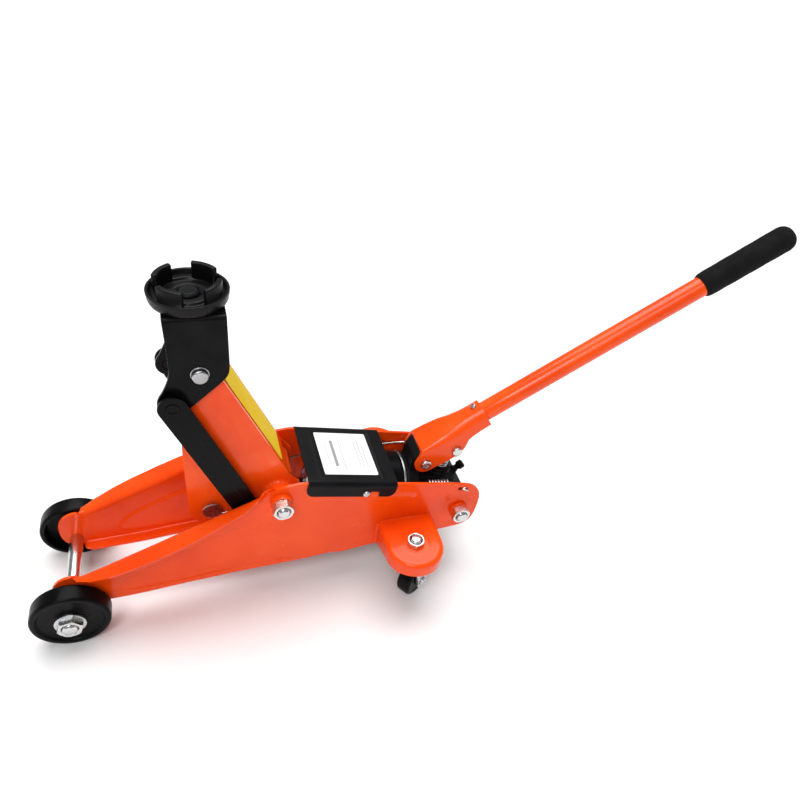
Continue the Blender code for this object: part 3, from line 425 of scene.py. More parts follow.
def hexagon(cx, cy, r, a0=0.0):
    return ring_pts(cx, cy, r, 6, a0, a0 + 360.0)


def rounded(pts, radii, seg=8):
    out = []
    n = len(pts)
    for i in range(n):
        p = Vector(pts[i])
        r = radii[i] if isinstance(radii, (list, tuple)) else radii
        a = Vector(pts[i - 1]) - p
        b = Vector(pts[(i + 1) % n]) - p
        if r <= 0:
            out.append(tuple(p))
            continue
        la, lb = a.length, b.length
        a.normalize()
        b.normalize()
        ang = a.angle(b)
        t = min(r / math.tan(ang / 2), la * 0.49, lb * 0.49)
        rr = t * math.tan(ang / 2)
        c = p + (a + b).normalized() * (rr / math.sin(ang / 2))
        s = p + a * t - c
        e = p + b * t - c
        a0 = math.atan2(s.y, s.x)
        da = math.atan2(s.x * e.y - s.y * e.x, s.dot(e))
        for k in range(seg + 1):
            q = a0 + da * k / seg
            out.append((c.x + rr * math.cos(q), c.y + rr * math.sin(q)))
    return out


def soften(profile, r=0.6, seg=3):
    """Rounds the corners of an open turned profile, leaving its ends."""
    out = [profile[0]]
    for i in range(1, len(profile) - 1):
        p, a, b = Vector(profile[i]), Vector(profile[i - 1]), Vector(profile[i + 1])
        da, db = a - p, b - p
        t = min(r, da.length * 0.45, db.length * 0.45)
        if t < 1e-4 or abs(da.normalized().dot(db.normalized())) > 0.999:
            out.append(tuple(p))
            continue
        p0, p1 = p + da.normalized() * t, p + db.normalized() * t
        for k in range(seg + 1):
            s = k / seg
            q = p0 * (1 - s) ** 2 + p * 2 * s * (1 - s) + p1 * s * s
            out.append((q.x, q.y))
    out.append(profile[-1])
    return out


def soften_loop(profile, r=0.6, seg=3):
    ext = [profile[-1]] + list(profile) + [profile[0]]
    return soften(ext, r, seg)[1:-1]


def turned(name, profile, matrix, mat=None, steps=64, closed=False, angle=38):
    """Turned shape from a (radius, height) profile in mm."""
    bm = bmesh.new()
    rows = []
    for i in range(steps):
        q = 2 * math.pi * i / steps
        rows.append([bm.verts.new((r * MM * math.cos(q), r * MM * math.sin(q), z * MM)) for r, z in profile])
    n = len(profile)
    last = n if closed else n - 1
    for i in range(steps):
        a, b = rows[i], rows[(i + 1) % steps]
        for k in range(last):
            k2 = (k + 1) % n
            quad = [a[k], a[k2], b[k2], b[k]]
            bm.faces.new(quad)
    bmesh.ops.remove_doubles(bm, verts=bm.verts, dist=1e-7)
    bmesh.ops.dissolve_degenerate(bm, dist=1e-8, edges=bm.edges)
    bmesh.ops.recalc_face_normals(bm, faces=bm.faces)
    me = bpy.data.meshes.new(name)
    bm.to_mesh(me)
    bm.free()
    me.transform(matrix)
    smooth(me, angle)
    return obj(name, me, mat)


def rod(name, p0, p1, r, mat=None, seg=32):
    d = p1 - p0
    q = d.to_track_quat('Z', 'Y').to_matrix().to_4x4()
    h = d.length / MM / 2
    return turned(name, [(0, h), (r, h), (r, -h), (0, -h)], Matrix.Translation((p0 + p1) / 2) @ q, mat, seg)


def boolean(ob, other, op, solver='EXACT'):
    m = ob.modifiers.new(op.lower(), 'BOOLEAN')
    m.operation = op
    m.solver = solver
    m.object = other
    me = evaluated(ob)
    me.transform(ob.matrix_world)
    clean(me, 1e-6)
    mats = [m_ for m_ in ob.data.materials]
    nm = ob.name
    bpy.data.objects.remove(ob, do_unlink=True)
    bpy.data.objects.remove(other, do_unlink=True)
    new = obj(nm, me)
    me.materials.clear()
    for m_ in mats[:1]:
        me.materials.append(m_)
    return new


def cut(ob, *tools):
    for t in tools:
        ob = boolean(ob, t, 'DIFFERENCE')
    return ob


def join(ob, *tools):
    for t in tools:
        ob = boolean(ob, t, 'UNION')
    return ob


def hole_y(x, z, r, y0, y1, seg=48):
    return rod("cutter", W(x, y0, z), W(x, y1, z), r, None, seg)


def bevel(ob, width, seg=3, angle=32, harden=True):
    m = ob.modifiers.new("edge", 'BEVEL')
    m.width = width * MM
    m.segments = seg
    m.limit_method = 'ANGLE'
    m.angle_limit = math.radians(angle)
    m.use_clamp_overlap = True
    m.miter_outer = 'MITER_ARC'
    ob.data.shade_smooth()
    w = ob.modifiers.new("normals", 'WEIGHTED_NORMAL')
    w.keep_sharp = True
    w.weight = 90
    return ob


def show(ob, body, nodes=(), mat=None):
    if mat is not None:
        ob.data.materials.clear()
        ob.data.materials.append(mat)
    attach(ob, body)
    if nodes:
        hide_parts(*nodes)
    return ob


def mirror_y(ob, name):
    me = ob.data.copy()
    me.transform(ob.matrix_world)
    me.transform(Matrix.Scale(-1.0, 4, (0, 1, 0)))
    me.flip_normals()
    new = obj(name, me)
    for m in ob.modifiers:
        n = new.modifiers.new(m.name, m.type)
        for p in m.bl_rna.properties:
            if not p.is_readonly and p.identifier not in ("name", "type"):
                try:
                    setattr(n, p.identifier, getattr(m, p.identifier))
                except Exception:
                    pass
    return new


def grid_mesh(name, rows, mat=None, close=False):
    """Surface through rows of points (all the same length)."""
    bm = bmesh.new()
    vs = [[bm.verts.new(p) for p in row] for row in rows]
    n = len(vs) if close else len(vs) - 1
    for i in range(n):
        a, b = vs[i], vs[(i + 1) % len(vs)]
        for k in range(len(a) - 1):
            try:
                bm.faces.new([a[k], a[k + 1], b[k + 1], b[k]])
            except ValueError:
                pass
    bmesh.ops.remove_doubles(bm, verts=bm.verts, dist=1e-7)
    bmesh.ops.dissolve_degenerate(bm, dist=1e-8, edges=bm.edges)
    me = bpy.data.meshes.new(name)
    bm.to_mesh(me)
    bm.free()
    return obj(name, me, mat)


def spline(points, per=8):
    """Dense Catmull-Rom line through 2D points."""
    pts = [Vector(p) for p in points]
    out = []
    for i in range(len(pts) - 1):
        p0 = pts[i - 1] if i > 0 else pts[i] * 2 - pts[i + 1]
        p1, p2 = pts[i], pts[i + 1]
        p3 = pts[i + 2] if i + 2 < len(pts) else pts[i + 1] * 2 - pts[i]
        for k in range(per):
            t = k / per
            out.append(0.5 * ((2 * p1) + (p2 - p0) * t + (2 * p0 - 5 * p1 + 4 * p2 - p3) * t * t
                              + (3 * p1 - p0 - 3 * p2 + p3) * t ** 3))
    out.append(pts[-1])
    return out


def sstep(e0, e1, x):
    t = min(1.0, max(0.0, (x - e0) / (e1 - e0)))
    return t * t * (3 - 2 * t)


def seg_dist(px, py, a, b):
    ax, ay = a
    bx, by = b
    dx, dy = bx - ax, by - ay
    t = max(0.0, min(1.0, ((px - ax) * dx + (py - ay) * dy) / (dx * dx + dy * dy)))
    return math.hypot(px - ax - dx * t, py - ay - dy * t)


def poly_sdf(px, py, poly):
    """Distance to a polygon, negative inside."""
    d = 1e9
    inside = False
    n = len(poly)
    for i in range(n):
        a, b = poly[i], poly[(i + 1) % n]
        d = min(d, seg_dist(px, py, a, b))
        if (a[1] > py) != (b[1] > py) and px < (b[0] - a[0]) * (py - a[1]) / (b[1] - a[1]) + a[0]:
            inside = not inside
    return -d if inside else d


# ------------------------------------------------------------------ fasteners
def hex_blank(name, cx, cz, y0, y1, af_r, bore, a0, sign, mat, chamfer=0.9):
    """Chamfered hexagon along Y between |y0| and |y1| on the side given by sign."""
    h = y1 - y0
    prof = [(0, h), (af_r * 0.90, h), (af_r * 1.005, h - chamfer), (af_r * 1.005, 0.35), (af_r * 0.985, 0.0), (0, 0.0)]
    body = turned("tool", prof, Matrix.Translation(W(cx, sign * y0, cz)) @ Matrix.Rotation(-sign * math.pi / 2, 4, 'X'), None, 72)
    hx = plate_y(name, [hexagon(cx, cz, af_r, a0)], sign * (y0 - 0.5), sign * (y1 + 0.5), mat)
    hx = boolean(hx, body, 'INTERSECT')
    if bore:
        hx = cut(hx, turned("cutter", [(0, h + 2), (bore + 0.9, h + 2), (bore + 0.9, h + 0.02), (bore, h - 0.9), (bore, -2), (0, -2)],
                            Matrix.Translation(W(cx, sign * y0, cz)) @ Matrix.Rotation(-sign * math.pi / 2, 4, 'X'), None, 48))
    return hx


def hex_blank_z(name, cx, cy, z0, z1, af_r, bore, a0, mat, chamfer=0.8):
    h = z1 - z0
    prof = [(0, h), (af_r * 0.90, h), (af_r * 1.005, h - chamfer), (af_r * 1.005, 0.3), (af_r * 0.985, 0.0), (0, 0.0)]
    body = turned("tool", prof, frame_z(cx, cy, z0), None, 72)
    hx = extrude(name, [hexagon(0, 0, af_r, a0)], h + 1, frame_z(cx, cy, (z0 + z1) / 2), mat)
    hx = boolean(hx, body, 'INTERSECT')
    if bore:
        hx = cut(hx, turned("cutter", [(0, h + 2), (bore + 0.8, h + 2), (bore + 0.8, h + 0.02), (bore, h - 0.8), (bore, -2), (0, -2)],
                            frame_z(cx, cy, z0), None, 48))
    return hx


def thread(r, z0, z1, pitch=1.25, depth=0.55):
    """Profile points of a threaded length, from z0 down to z1."""
    pts = []
    z = z0
    while z - pitch > z1:
        pts += [(r - depth, z), (r, z - pitch * 0.42), (r, z - pitch * 0.58)]
        z -= pitch
    pts.append((r - depth, z))
    return pts


def finish_edges(ob, width=0.35, seg=2, angle=35):
    return bevel(ob, width, seg, angle)


# ----------------------------------------------------------------- side plates
TOP = [(-0.1, 64.3, 0), (11.0, 66.2, 5.5), (20.5, 69.6, 10.0), (37.1, 76.6, 14.0),
       (53.8, 84.0, 16.0), (78.7, 95.0, 17.0), (98.0, 104.0, 16.5), (122.0, 114.8, 14.0),
       (146.6, 125.6, 10.0), (166.8, 134.5, 2.2)]
HUMP = [(178.0, 138.0), (190.0, 139.9), (203.7, 140.0), (240.0, 132.9), (280.0, 124.9), (330.0, 114.9), (352.0, 110.4)]
REAR = [(361.0, 107.6), (367.5, 103.4), (371.8, 97.0), (373.8, 89.0)]
LOWREAR = [(373.8, 89.0), (373.5, 78.0), (372.2, 67.0), (369.0, 58.5), (363.0, 53.2), (354.0, 50.8)]
BOTTOM = [(354.0, 50.8), (335.0, 49.0), (297.0, 45.7), (259.0, 42.4), (228.0, 37.8), (189.0, 34.4),
          (143.0, 32.6), (85.0, 27.9), (60.0, 25.4), (31.0, 24.0), (6.0, 23.0)]
NOSE_UP = [(-13.0, 47.6), (-12.2, 52.5), (-9.7, 57.4), (-6.0, 61.4), (-0.1, 64.3)]
NOSE_LOW = [(-13.0, 47.6), (-12.9, 40.0), (-11.6, 33.0), (-8.8, 27.2), (-4.0, 23.8), (6.0, 23.0)]
LOW_W = [(-13.0, 0.0), (4.0, 0.0), (7.0, 7.0), (14.0, 10.0), (60.0, 10.0), (85.0, 10.0), (143.0, 9.0), (189.0, 7.0), (228.0, 3.0), (246.0, 0.0), (380.0, 0.0)]
TOP_W = [(-13.0, 0.0), (6.0, 0.0), (8.5, 4.2), (11.0, 5.5)] + [(t[0], t[2]) for t in TOP[2:-1]] + [(158.0, 5.6), (166.8, 2.2), (176.0, 0.0), (380.0, 0.0)]


def curve_at(points, per=10):
    line = spline(points, per)
    xs = np.array([p.x for p in line])
    zs = np.array([p.y for p in line])
    o = np.argsort(xs, kind="stable")
    return xs[o], zs[o]


_tx, _tz = curve_at(NOSE_UP[:-1] + [(t[0], t[1]) for t in TOP] + HUMP + REAR)
_bx, _bz = curve_at(NOSE_LOW[:-1] + list(reversed(BOTTOM)) + list(reversed(LOWREAR))[1:])


def z_top(x):
    return float(np.interp(x, _tx, _tz))


def z_bot(x):
    return float(np.interp(x, _bx, _bz))


def width_at(table, x):
    line = table
    return float(np.interp(x, [p[0] for p in line], [p[1] for p in line]))


# wedge-shaped pressed panel in the front of the web, and the bead under the cover
WEDGE = [(38.0, 44.0), (58.0, 60.0), (100.0, 79.0), (138.0, 95.5), (146.0, 93.0), (152.0, 82.0), (158.0, 66.0), (166.0, 54.0),
         (180.0, 45.5), (196.0, 42.0), (160.0, 40.0), (120.0, 37.0), (80.0, 34.0), (50.0, 33.0), (40.0, 36.0)]
_w = spline(WEDGE + [WEDGE[0]], 4)
WEDGE_LINE = [(p.x, p.y) for p in _w[:-1]]
BEAD_A = (214.0, 121.5)
BEAD_B = (300.0, 104.2)


def emboss(x, z):
    """How far the web stands out of its flat, in mm."""
    e = 0.0
    if 25 < x < 210 and z < 105:
        d = poly_sdf(x, z, WEDGE_LINE)
        e -= 1.5 * (1 - sstep(-1.8, 0.6, d))
    if 195 < x < 320:
        d = seg_dist(x, z, BEAD_A, BEAD_B)
        e += 1.5 * (1 - sstep(1.6, 6.0, d))
    d = math.hypot(x - L[0], z - L[1])
    if d < 9:
        e -= 0.42 * math.exp(-((d - 5.4) / 0.55) ** 2)
    d = math.hypot(x - T[0], z - T[1])
    if d < 24:
        e += 0.9 * (1 - sstep(12.5, 17.0, d))
    return e


def side_plate():
    xs = []
    n_end = 12
    for i in range(n_end):
        xs.append(-13.0 + 14.0 * (1 - math.cos(math.pi / 2 * i / n_end)))
    x = 1.0
    while x < 356.0:
        xs.append(x)
        x += 2.0
    for i in range(n_end + 1):
        xs.append(356.0 + 17.8 * math.sin(math.pi / 2 * i / n_end))
    rows = []
    n_web = 62
    y_in = -PLATE_IN
    for x in xs:
        zt, zb = z_top(x), z_bot(x)
        wt, wl = width_at(TOP_W, x), width_at(LOW_W, x)
        k_t = sstep(0.0, 4.5, wt)
        k_l = sstep(0.0, 4.5, wl)
        qt, ql = math.pi / 2 * k_t, math.pi / 2 * k_l
        rt, rl = 6.0, 2.0
        ext_t = max(0.05, wt + 2.5 - rt)
        ext_l = max(0.05, wl - rl)
        # heights of the ends of the flat web, so both edges keep their drawn lines
        zc_t = zt - rt * math.sin(qt) - ext_t * math.cos(qt)
        zc_l = zb + rl * math.sin(ql) + ext_l * math.cos(ql) + 2.5 * math.sin(ql)
        if zc_t - zc_l < 0.4:
            mid = (zt + zb) / 2
            zc_t, zc_l = mid + 0.2, mid - 0.2
            qt = ql = 0.0
            rt, rl = 0.01, 0.01
            ext_t = ext_l = max(0.02, (zt - zb) / 2 - 0.2)
        row = []
        ey, ez = y_in + rl - rl * math.cos(ql), zc_l - rl * math.sin(ql)
        for k in range(6):
            s = (6 - k) / 6 * ext_l
            row.append((x, ey + s * math.sin(ql), ez - s * math.cos(ql)))
        for k in range(6, -1, -1):
            q = ql * k / 6
            row.append((x, y_in + rl - rl * math.cos(q), zc_l - rl * math.sin(q) - 0.0005 * k))
        for k in range(1, n_web):
            z = zc_l + (zc_t - zc_l) * k / n_web
            row.append((x, y_in - emboss(x, z), z))
        for k in range(9):
            q = qt * k / 8
            row.append((x, y_in - rt + rt * math.cos(q), zc_t + rt * math.sin(q) + 0.0005 * k))
        ey, ez = row[-1][1], row[-1][2]
        for k in range(1, 9):
            s = k / 8 * ext_t
            row.append((x, ey - s * math.sin(qt), ez + s * math.cos(qt) - 0.7 * k_t * (k / 8) ** 2))
        rows.append([W(*p) for p in row])
    ob = grid_mesh("side_plate_left_skin", rows, ORANGE)
    bm = bmesh.new()
    bm.from_mesh(ob.data)
    bmesh.ops.recalc_face_normals(bm, faces=bm.faces)
    # the web's normal must point out, towards -Y
    f = min(bm.faces, key=lambda f_: (f_.calc_center_median() - W(220, -34.5, 80)).length)
    if f.normal.y > 0:
        bmesh.ops.reverse_faces(bm, faces=bm.faces)
    bm.to_mesh(ob.data)
    bm.free()
    m = ob.modifiers.new("sheet", 'SOLIDIFY')
    m.thickness = 2.5 * MM
    m.offset = 1.0
    m.use_even_offset = False
    m.use_quality_normals = True
    ob = bake(ob)
    slot_l = ring_pts(350.4, 104.6, 2.0, 10, 90, 270) + ring_pts(356.6, 103.4, 2.0, 10, -90, 90)
    ob = cut(ob, plate_y("cutter", [slot_l], -45, -30))
    smooth(ob.data, 42)
    return ob


pl = side_plate()
pr = mirror_y(pl, "side_plate_right_skin")
smooth(pr.data, 42)
show(pl, "frame", ["side_plate_left"], ORANGE)
show(pr, "frame", ["side_plate_right"], ORANGE)

# --------------------------------------------------------- front axle and wheels
ax_prof = soften([(0, 66.0), (4.9, 66.0), (5.9, 65.0)] + thread(5.9, 64.6, 57.0, 1.5, 0.5) + [(6.0, 56.5), (6.0, -56.5)]
                 + [(r, -z) for r, z in reversed(thread(5.9, 64.6, 57.0, 1.5, 0.5))] + [(5.9, -65.0), (4.9, -66.0), (0, -66.0)], 0.15, 1)
axle = turned("front_axle_bar", ax_prof, axis_y(0, WHEEL_R, 1), ZINC_TURNED, 56)
show(axle, "frame", ["front_axle"])
for side, s in (("left", -1), ("right", 1)):
    prof = soften_loop([(6.4, WHEEL_OUT - 0.9), (13.4, WHEEL_OUT - 0.9), (14.6, WHEEL_OUT - 2.2), (25.6, WHEEL_OUT - 2.2), (27.2, WHEEL_OUT),
                        (30.6, WHEEL_OUT), (WHEEL_R, WHEEL_OUT - 1.6), (WHEEL_R, WHEEL_IN + 1.6), (30.6, WHEEL_IN), (27.6, WHEEL_IN),
                        (26.2, WHEEL_IN + 9.2), (13.2, WHEEL_IN + 9.8), (11.8, WHEEL_IN - 1.6), (6.4, WHEEL_IN - 1.6)], 1.0, 4)
    wheel = turned("front_wheel_%s_tyre" % side, prof, axis_y(0, WHEEL_R, s), WHEEL_BLACK, 112, closed=True, angle=45)
    show(wheel, "wheel_" + side, ["front_wheel_" + side])
    nut = hex_blank("axle_nut_%s_hex" % side, 0, WHEEL_R, 59.0, 64.6, 10.8, 6.5, 12, s, ZINC)
    washer = turned("tool", soften_loop([(6.5, 59.3), (12.6, 59.3), (12.6, 56.9), (6.5, 56.9)], 0.35, 2), axis_y(0, WHEEL_R, s), None, 64, closed=True)
    nut = join(nut, washer)
    smooth(nut.data, 32)
    show(nut, "frame", ["axle_nut_" + side], ZINC)

# ------------------------------------------------------- main shaft and link pins
sh = soften([(0, 53.0), (3.9, 53.0), (4.8, 52.2)] + thread(4.95, 51.8, 43.4, 1.25, 0.5) + [(4.9, 42.9), (8.0, 42.9), (8.0, -42.9), (4.9, -42.9)]
            + [(r, -z) for r, z in reversed(thread(4.95, 51.8, 43.4, 1.25, 0.5))] + [(4.8, -52.2), (3.9, -53.0), (0, -53.0)], 0.15, 1)
shaft = turned("main_shaft_bar", sh, axis_y(M[0], M[1], 1), ZINC_TURNED, 56)
show(shaft, "frame", ["main_shaft"])
for side, s in (("left", -1), ("right", 1)):
    nut = hex_blank("main_nut_%s_hex" % side, M[0], M[1], 43.2, 50.6, 9.4, 5.5, 10, s, ZINC, 0.9)
    smooth(nut.data, 32)
    show(nut, "frame", ["main_nut_" + side], ZINC)
    # plain sleeve the nut bears on, part of the fixed shaft
    slv = turned("main_spacer_" + side, soften_loop([(8.05, 42.8), (9.6, 42.8), (9.6, 37.1), (8.05, 37.1)], 0.3, 2), axis_y(M[0], M[1], s), ORANGE, 56, closed=True)
    show(slv, "frame", [], ORANGE)
    pin = turned("link_pin_%s_stud" % side, soften([(0, PLATE_OUT - 0.1), (5.0, PLATE_OUT - 0.1), (5.0, 30.3), (8.0, 30.3), (8.0, 27.8), (0, 27.8)], 0.5, 3),
                 axis_y(L[0], L[1], s), ORANGE, 48)
    show(pin, "frame", ["link_pin_" + side])


# ---------------------------------------------------------------------- lift arm
def folded(name, verts, faces, fold_pairs, radius, thick, mat, segs=7):
    """Folded sheet: an open surface whose fold edges are rounded, then thickened inwards."""
    bm = bmesh.new()
    vs = [bm.verts.new(W(*v)) for v in verts]
    for f in faces:
        bm.faces.new([vs[i] for i in f])
    bm.edges.ensure_lookup_table()
    es = []
    for a, b in fold_pairs:
        e = bm.edges.get((vs[a], vs[b]))
        if e is not None:
            es.append(e)
    bmesh.ops.bevel(bm, geom=es, offset=radius * MM, segments=segs, profile=0.5, affect='EDGES', clamp_overlap=True)
    bmesh.ops.remove_doubles(bm, verts=bm.verts, dist=1e-7)
    bmesh.ops.recalc_face_normals(bm, faces=bm.faces)
    me = bpy.data.meshes.new(name)
    bm.to_mesh(me)
    bm.free()
    ob = obj(name, me, mat)
    # the thickness has to lie on the inside of the drawn surface
    wide = max(abs(v_[1]) for v_ in verts) * MM
    m = ob.modifiers.new("sheet", 'SOLIDIFY')
    m.thickness = thick * MM
    m.offset = -1.0
    m.use_even_offset = True
    if max(abs(v_.co.y) for v_ in evaluated(ob).vertices) > wide + 0.5 * MM:
        m.offset = 1.0
    return bake(ob)


web_n = Vector((0.9045, 0.4265))


def back_line(z):
    return (231.6 - web_n.y * z) / web_n.x


arm_outline = (ring_pts(A[0], A[1], 11.8, 26, 25, 185)
               + [(p.x, p.y) for p in spline([(110.9, 255.0), (107.6, 236.0), (105.6, 214.0), (104.6, 190.0), (104.2, 165.0), (104.2, 140.0), (104.2, 118.0)], 4)[1:-1]]
               + ring_pts(R[0], R[1], 19.0, 26, 180, 268)
               + [(p.x, p.y) for p in spline([(122.5, 93.0), (134.0, 93.4), (147.0, 96.6), (160.0, 100.6), (172.0, 104.2), (177.2, 104.3)], 3)[1:-1]]
               + ring_pts(M[0], M[1], 19.0, 34, -100, 22))
back_low, back_high = (back_line(142.0), 142.0), (back_line(256.0), 256.0)
_pts = arm_outline + [back_low, back_high]
_n = len(_pts)
arm = plate_y("lift_arm_pressing", [_pts], -ARM_OUT, ARM_OUT, ORANGE)
bm = bmesh.new()
bm.from_mesh(arm.data)


def on_back_corner(v_):
    return any(abs(v_.co.x - W(p_[0], 0, 0).x) < 2e-5 and abs(v_.co.z - p_[1] * MM) < 2e-5 for p_ in (back_low, back_high))


fold_edges = [e for e in bm.edges if all(on_back_corner(v_) for v_ in e.verts) and abs(e.verts[0].co.y - e.verts[1].co.y) < 1e-5]
bmesh.ops.bevel(bm, geom=fold_edges, offset=4.0 * MM, segments=7, profile=0.5, affect='EDGES', clamp_overlap=True)
bm.to_mesh(arm.data)
bm.free()
# the channel is hollow: two cheeks and the back wall stay
_n2 = web_n
_lo_v, _hi_v = Vector(back_low), Vector(back_high)
hollow = [(60, 60), (262, 60), tuple(_lo_v + _n2 * 40), tuple(_lo_v - _n2 * 3.0), tuple(_hi_v - _n2 * 3.0), tuple(_hi_v + _n2 * 40), (262, 330), (60, 330)]
arm = cut(arm, plate_y("cutter", [hollow], -ARM_IN, ARM_IN))
arm = cut(arm, hole_y(A[0], A[1], 7.2, -30, 30), hole_y(M[0], M[1], HUB_R + 0.1, -30, 30), hole_y(R[0], R[1], 5.2, -30, 30))
arm = bevel(arm, 0.45, 2, 50)
show(arm, "arm", ["lift_arm"], ORANGE)

# pivot tube with its weld beads against the cheeks
tube_prof = [(8.4, -34.2), (HUB_R, -34.2)]
for k in range(0, 9):
    q = math.radians(90 * k / 8)
    tube_prof.append((HUB_R + 3.6 - 3.6 * math.cos(q), -ARM_OUT - 3.8 + 3.8 * math.sin(q)))
tube_prof += [(HUB_R + 3.6, ARM_OUT)]
for k in range(8, -1, -1):
    q = math.radians(90 * k / 8)
    tube_prof.append((HUB_R + 3.6 - 3.6 * math.cos(q), ARM_OUT + 3.8 - 3.8 * math.sin(q)))
tube_prof += [(HUB_R, 34.2), (8.4, 34.2)]
ptube = turned("arm_pivot_tube_skin", soften_loop(tube_prof, 0.35, 2), axis_y(M[0], M[1]), ORANGE, 72, closed=True)
for v_ in ptube.data.vertices:
    # slight ripples left by the welder on the fillets
    y_ = abs(v_.co.y) / MM
    if ARM_OUT - 0.1 <= y_ < 27.2:
        dx, dz = v_.co.x - W(M[0], 0, 0).x, v_.co.z - M[1] * MM
        rr = math.hypot(dx, dz)
        if rr > (HUB_R + 0.3) * MM:
            q = math.atan2(dz, dx)
            k_ = 1 + (0.028 * math.sin(q * 17.0) + 0.018 * math.sin(q * 29.0 + 1.3))
            v_.co.x += dx * (k_ - 1)
            v_.co.z += dz * (k_ - 1)
show(ptube, "arm", ["arm_pivot_tube"], ORANGE)

a_pin = turned("saddle_bracket_pin_bar", soften([(0, 30.3), (5.1, 30.3), (6.0, 29.4), (6.0, 26.2), (7.0, 26.0), (7.0, -26.0), (6.0, -26.2), (6.0, -29.4), (5.1, -30.3), (0, -30.3)], 0.5, 3), axis_y(A[0], A[1]), STEEL, 56)
show(a_pin, "arm", ["saddle_bracket_pin"])
for side, s in (("left", -1), ("right", 1)):
    stud = turned("ram_pin_%s_stud" % side, soften([(0, 27.4), (7.4, 27.4), (8.4, 27.1), (8.4, 26.6), (5.0, 26.6), (5.0, ARM_IN), (0, ARM_IN)], 0.3, 2),
                  axis_y(R[0], R[1], s), STEEL, 48)
    show(stud, "arm", ["ram_pin_" + side])

t0, t1 = 0.10, 0.93
lo = Vector(back_low) + (Vector(back_high) - Vector(back_low)) * t0
hi = Vector(back_low) + (Vector(back_high) - Vector(back_low)) * t1
up_v = (hi - lo).normalized()
strip_m = Matrix(((up_v.x, 0, web_n.x, W(lo.x, 0, 0).x), (0, -1, 0, 0), (up_v.y, 0, web_n.y, lo.y * MM), (0, 0, 0, 1)))
strip_m = strip_m @ Matrix.Translation((0, 0, 0.0005))
strip = extrude("caution_strip_film", [rounded([(0, -18.2), ((hi - lo).length, -18.2), ((hi - lo).length, 18.2), (0, 18.2)], 2.2, 6)], 0.5, strip_m, YELLOW)
strip = bevel(strip, 0.12, 2, 40)
show(strip, "arm", ["arm_strip"], YELLOW)

# ------------------------------------------------------------------------- links
dirn = (Vector(B) - Vector(L)).normalized()
ang = math.degrees(math.atan2(dirn.y, dirn.x))
for side, s in (("left", -1), ("right", 1)):
    out = ring_pts(B[0], B[1], 10.8, 28, ang - 90, ang + 90) + ring_pts(L[0], L[1], 10.8, 28, ang + 90, ang + 270)
    link = plate_y("link_%s_bar" % side, [out, ring_pts(B[0], B[1], 5.2, 40), ring_pts(L[0], L[1], 5.2, 40)], s * LINK_IN, s * (LINK_OUT - 0.55), BLACK)
    link = bevel(link, 0.55, 3, 40)
    show(link, "links", ["link_" + side], BLACK)
    rv = turned("link_rivet_%s_stud" % side,
                soften([(0, LINK_OUT - 0.5), (3.4, LINK_OUT - 0.5), (3.9, LINK_OUT), (5.0, LINK_OUT), (5.0, 30.4), (8.0, 30.4), (8.0, 26.8), (5.0, 26.8), (5.0, 23.6), (0, 23.6)], 0.3, 2),
                axis_y(B[0], B[1], s), BLACK, 48)
    show(rv, "bracket", ["link_rivet_" + side])

# ---------------------------------------------------------------- saddle bracket
BR_TOP = 306.5
br_side = ([(144.0, BR_TOP), (100.8, BR_TOP)]
           + [(p.x, p.y) for p in spline([(100.8, 306.5), (101.4, 290.0), (101.8, 272.0), (101.0, 258.0), (96.4, 246.0), (91.4, 237.6)], 5)[1:-1]]
           + ring_pts(B[0], B[1], 10.6, 26, 155, 290)
           + [(p.x, p.y) for p in spline([(105.2, 223.3), (113.0, 227.3), (128.0, 240.6), (138.0, 250.0), (142.8, 256.2), (144.2, 264.0)], 4)[1:]])
_n = len(br_side)
br = folded("saddle_bracket_pressing", [(p[0], -BRACKET_OUT, p[1]) for p in br_side] + [(p[0], BRACKET_OUT, p[1]) for p in br_side],
            [list(range(_n)), list(range(2 * _n - 1, _n - 1, -1)), [0, _n, _n + 1, 1]],
            [(0, 1), (_n, _n + 1)], 5.0, 3.0, BLACK)
br = cut(br, hole_y(A[0], A[1], 7.2, -30, 30), hole_y(B[0], B[1], 5.2, -30, 30),
         rod("cutter", W(SADDLE[0], 0, 290), W(SADDLE[0], 0, 312), 5.2, None, 40))
br = bevel(br, 0.45, 2, 50)
show(br, "bracket", ["saddle_bracket"], BLACK)

bolt = turned("saddle_bolt_body", soften([(0, 313.6), (4.4, 313.9), (6.2, 314.0), (8.2, 312.6), (8.6, 311.6), (8.6, 311.2), (5.0, 311.2), (5.0, 296.0), (4.4, 294.5), (0, 294.5)], 0.5, 3),
              frame_z(SADDLE[0], 0, 0), BLACK_SATIN, 56)
show(bolt, "bracket", ["saddle_bolt"])
nut = hex_blank_z("saddle_nut_hex", SADDLE[0], 0, 296.7, 303.0, 9.2, 5.1, 0, ZINC)
smooth(nut.data, 32)
show(nut, "bracket", ["saddle_nut"], ZINC)

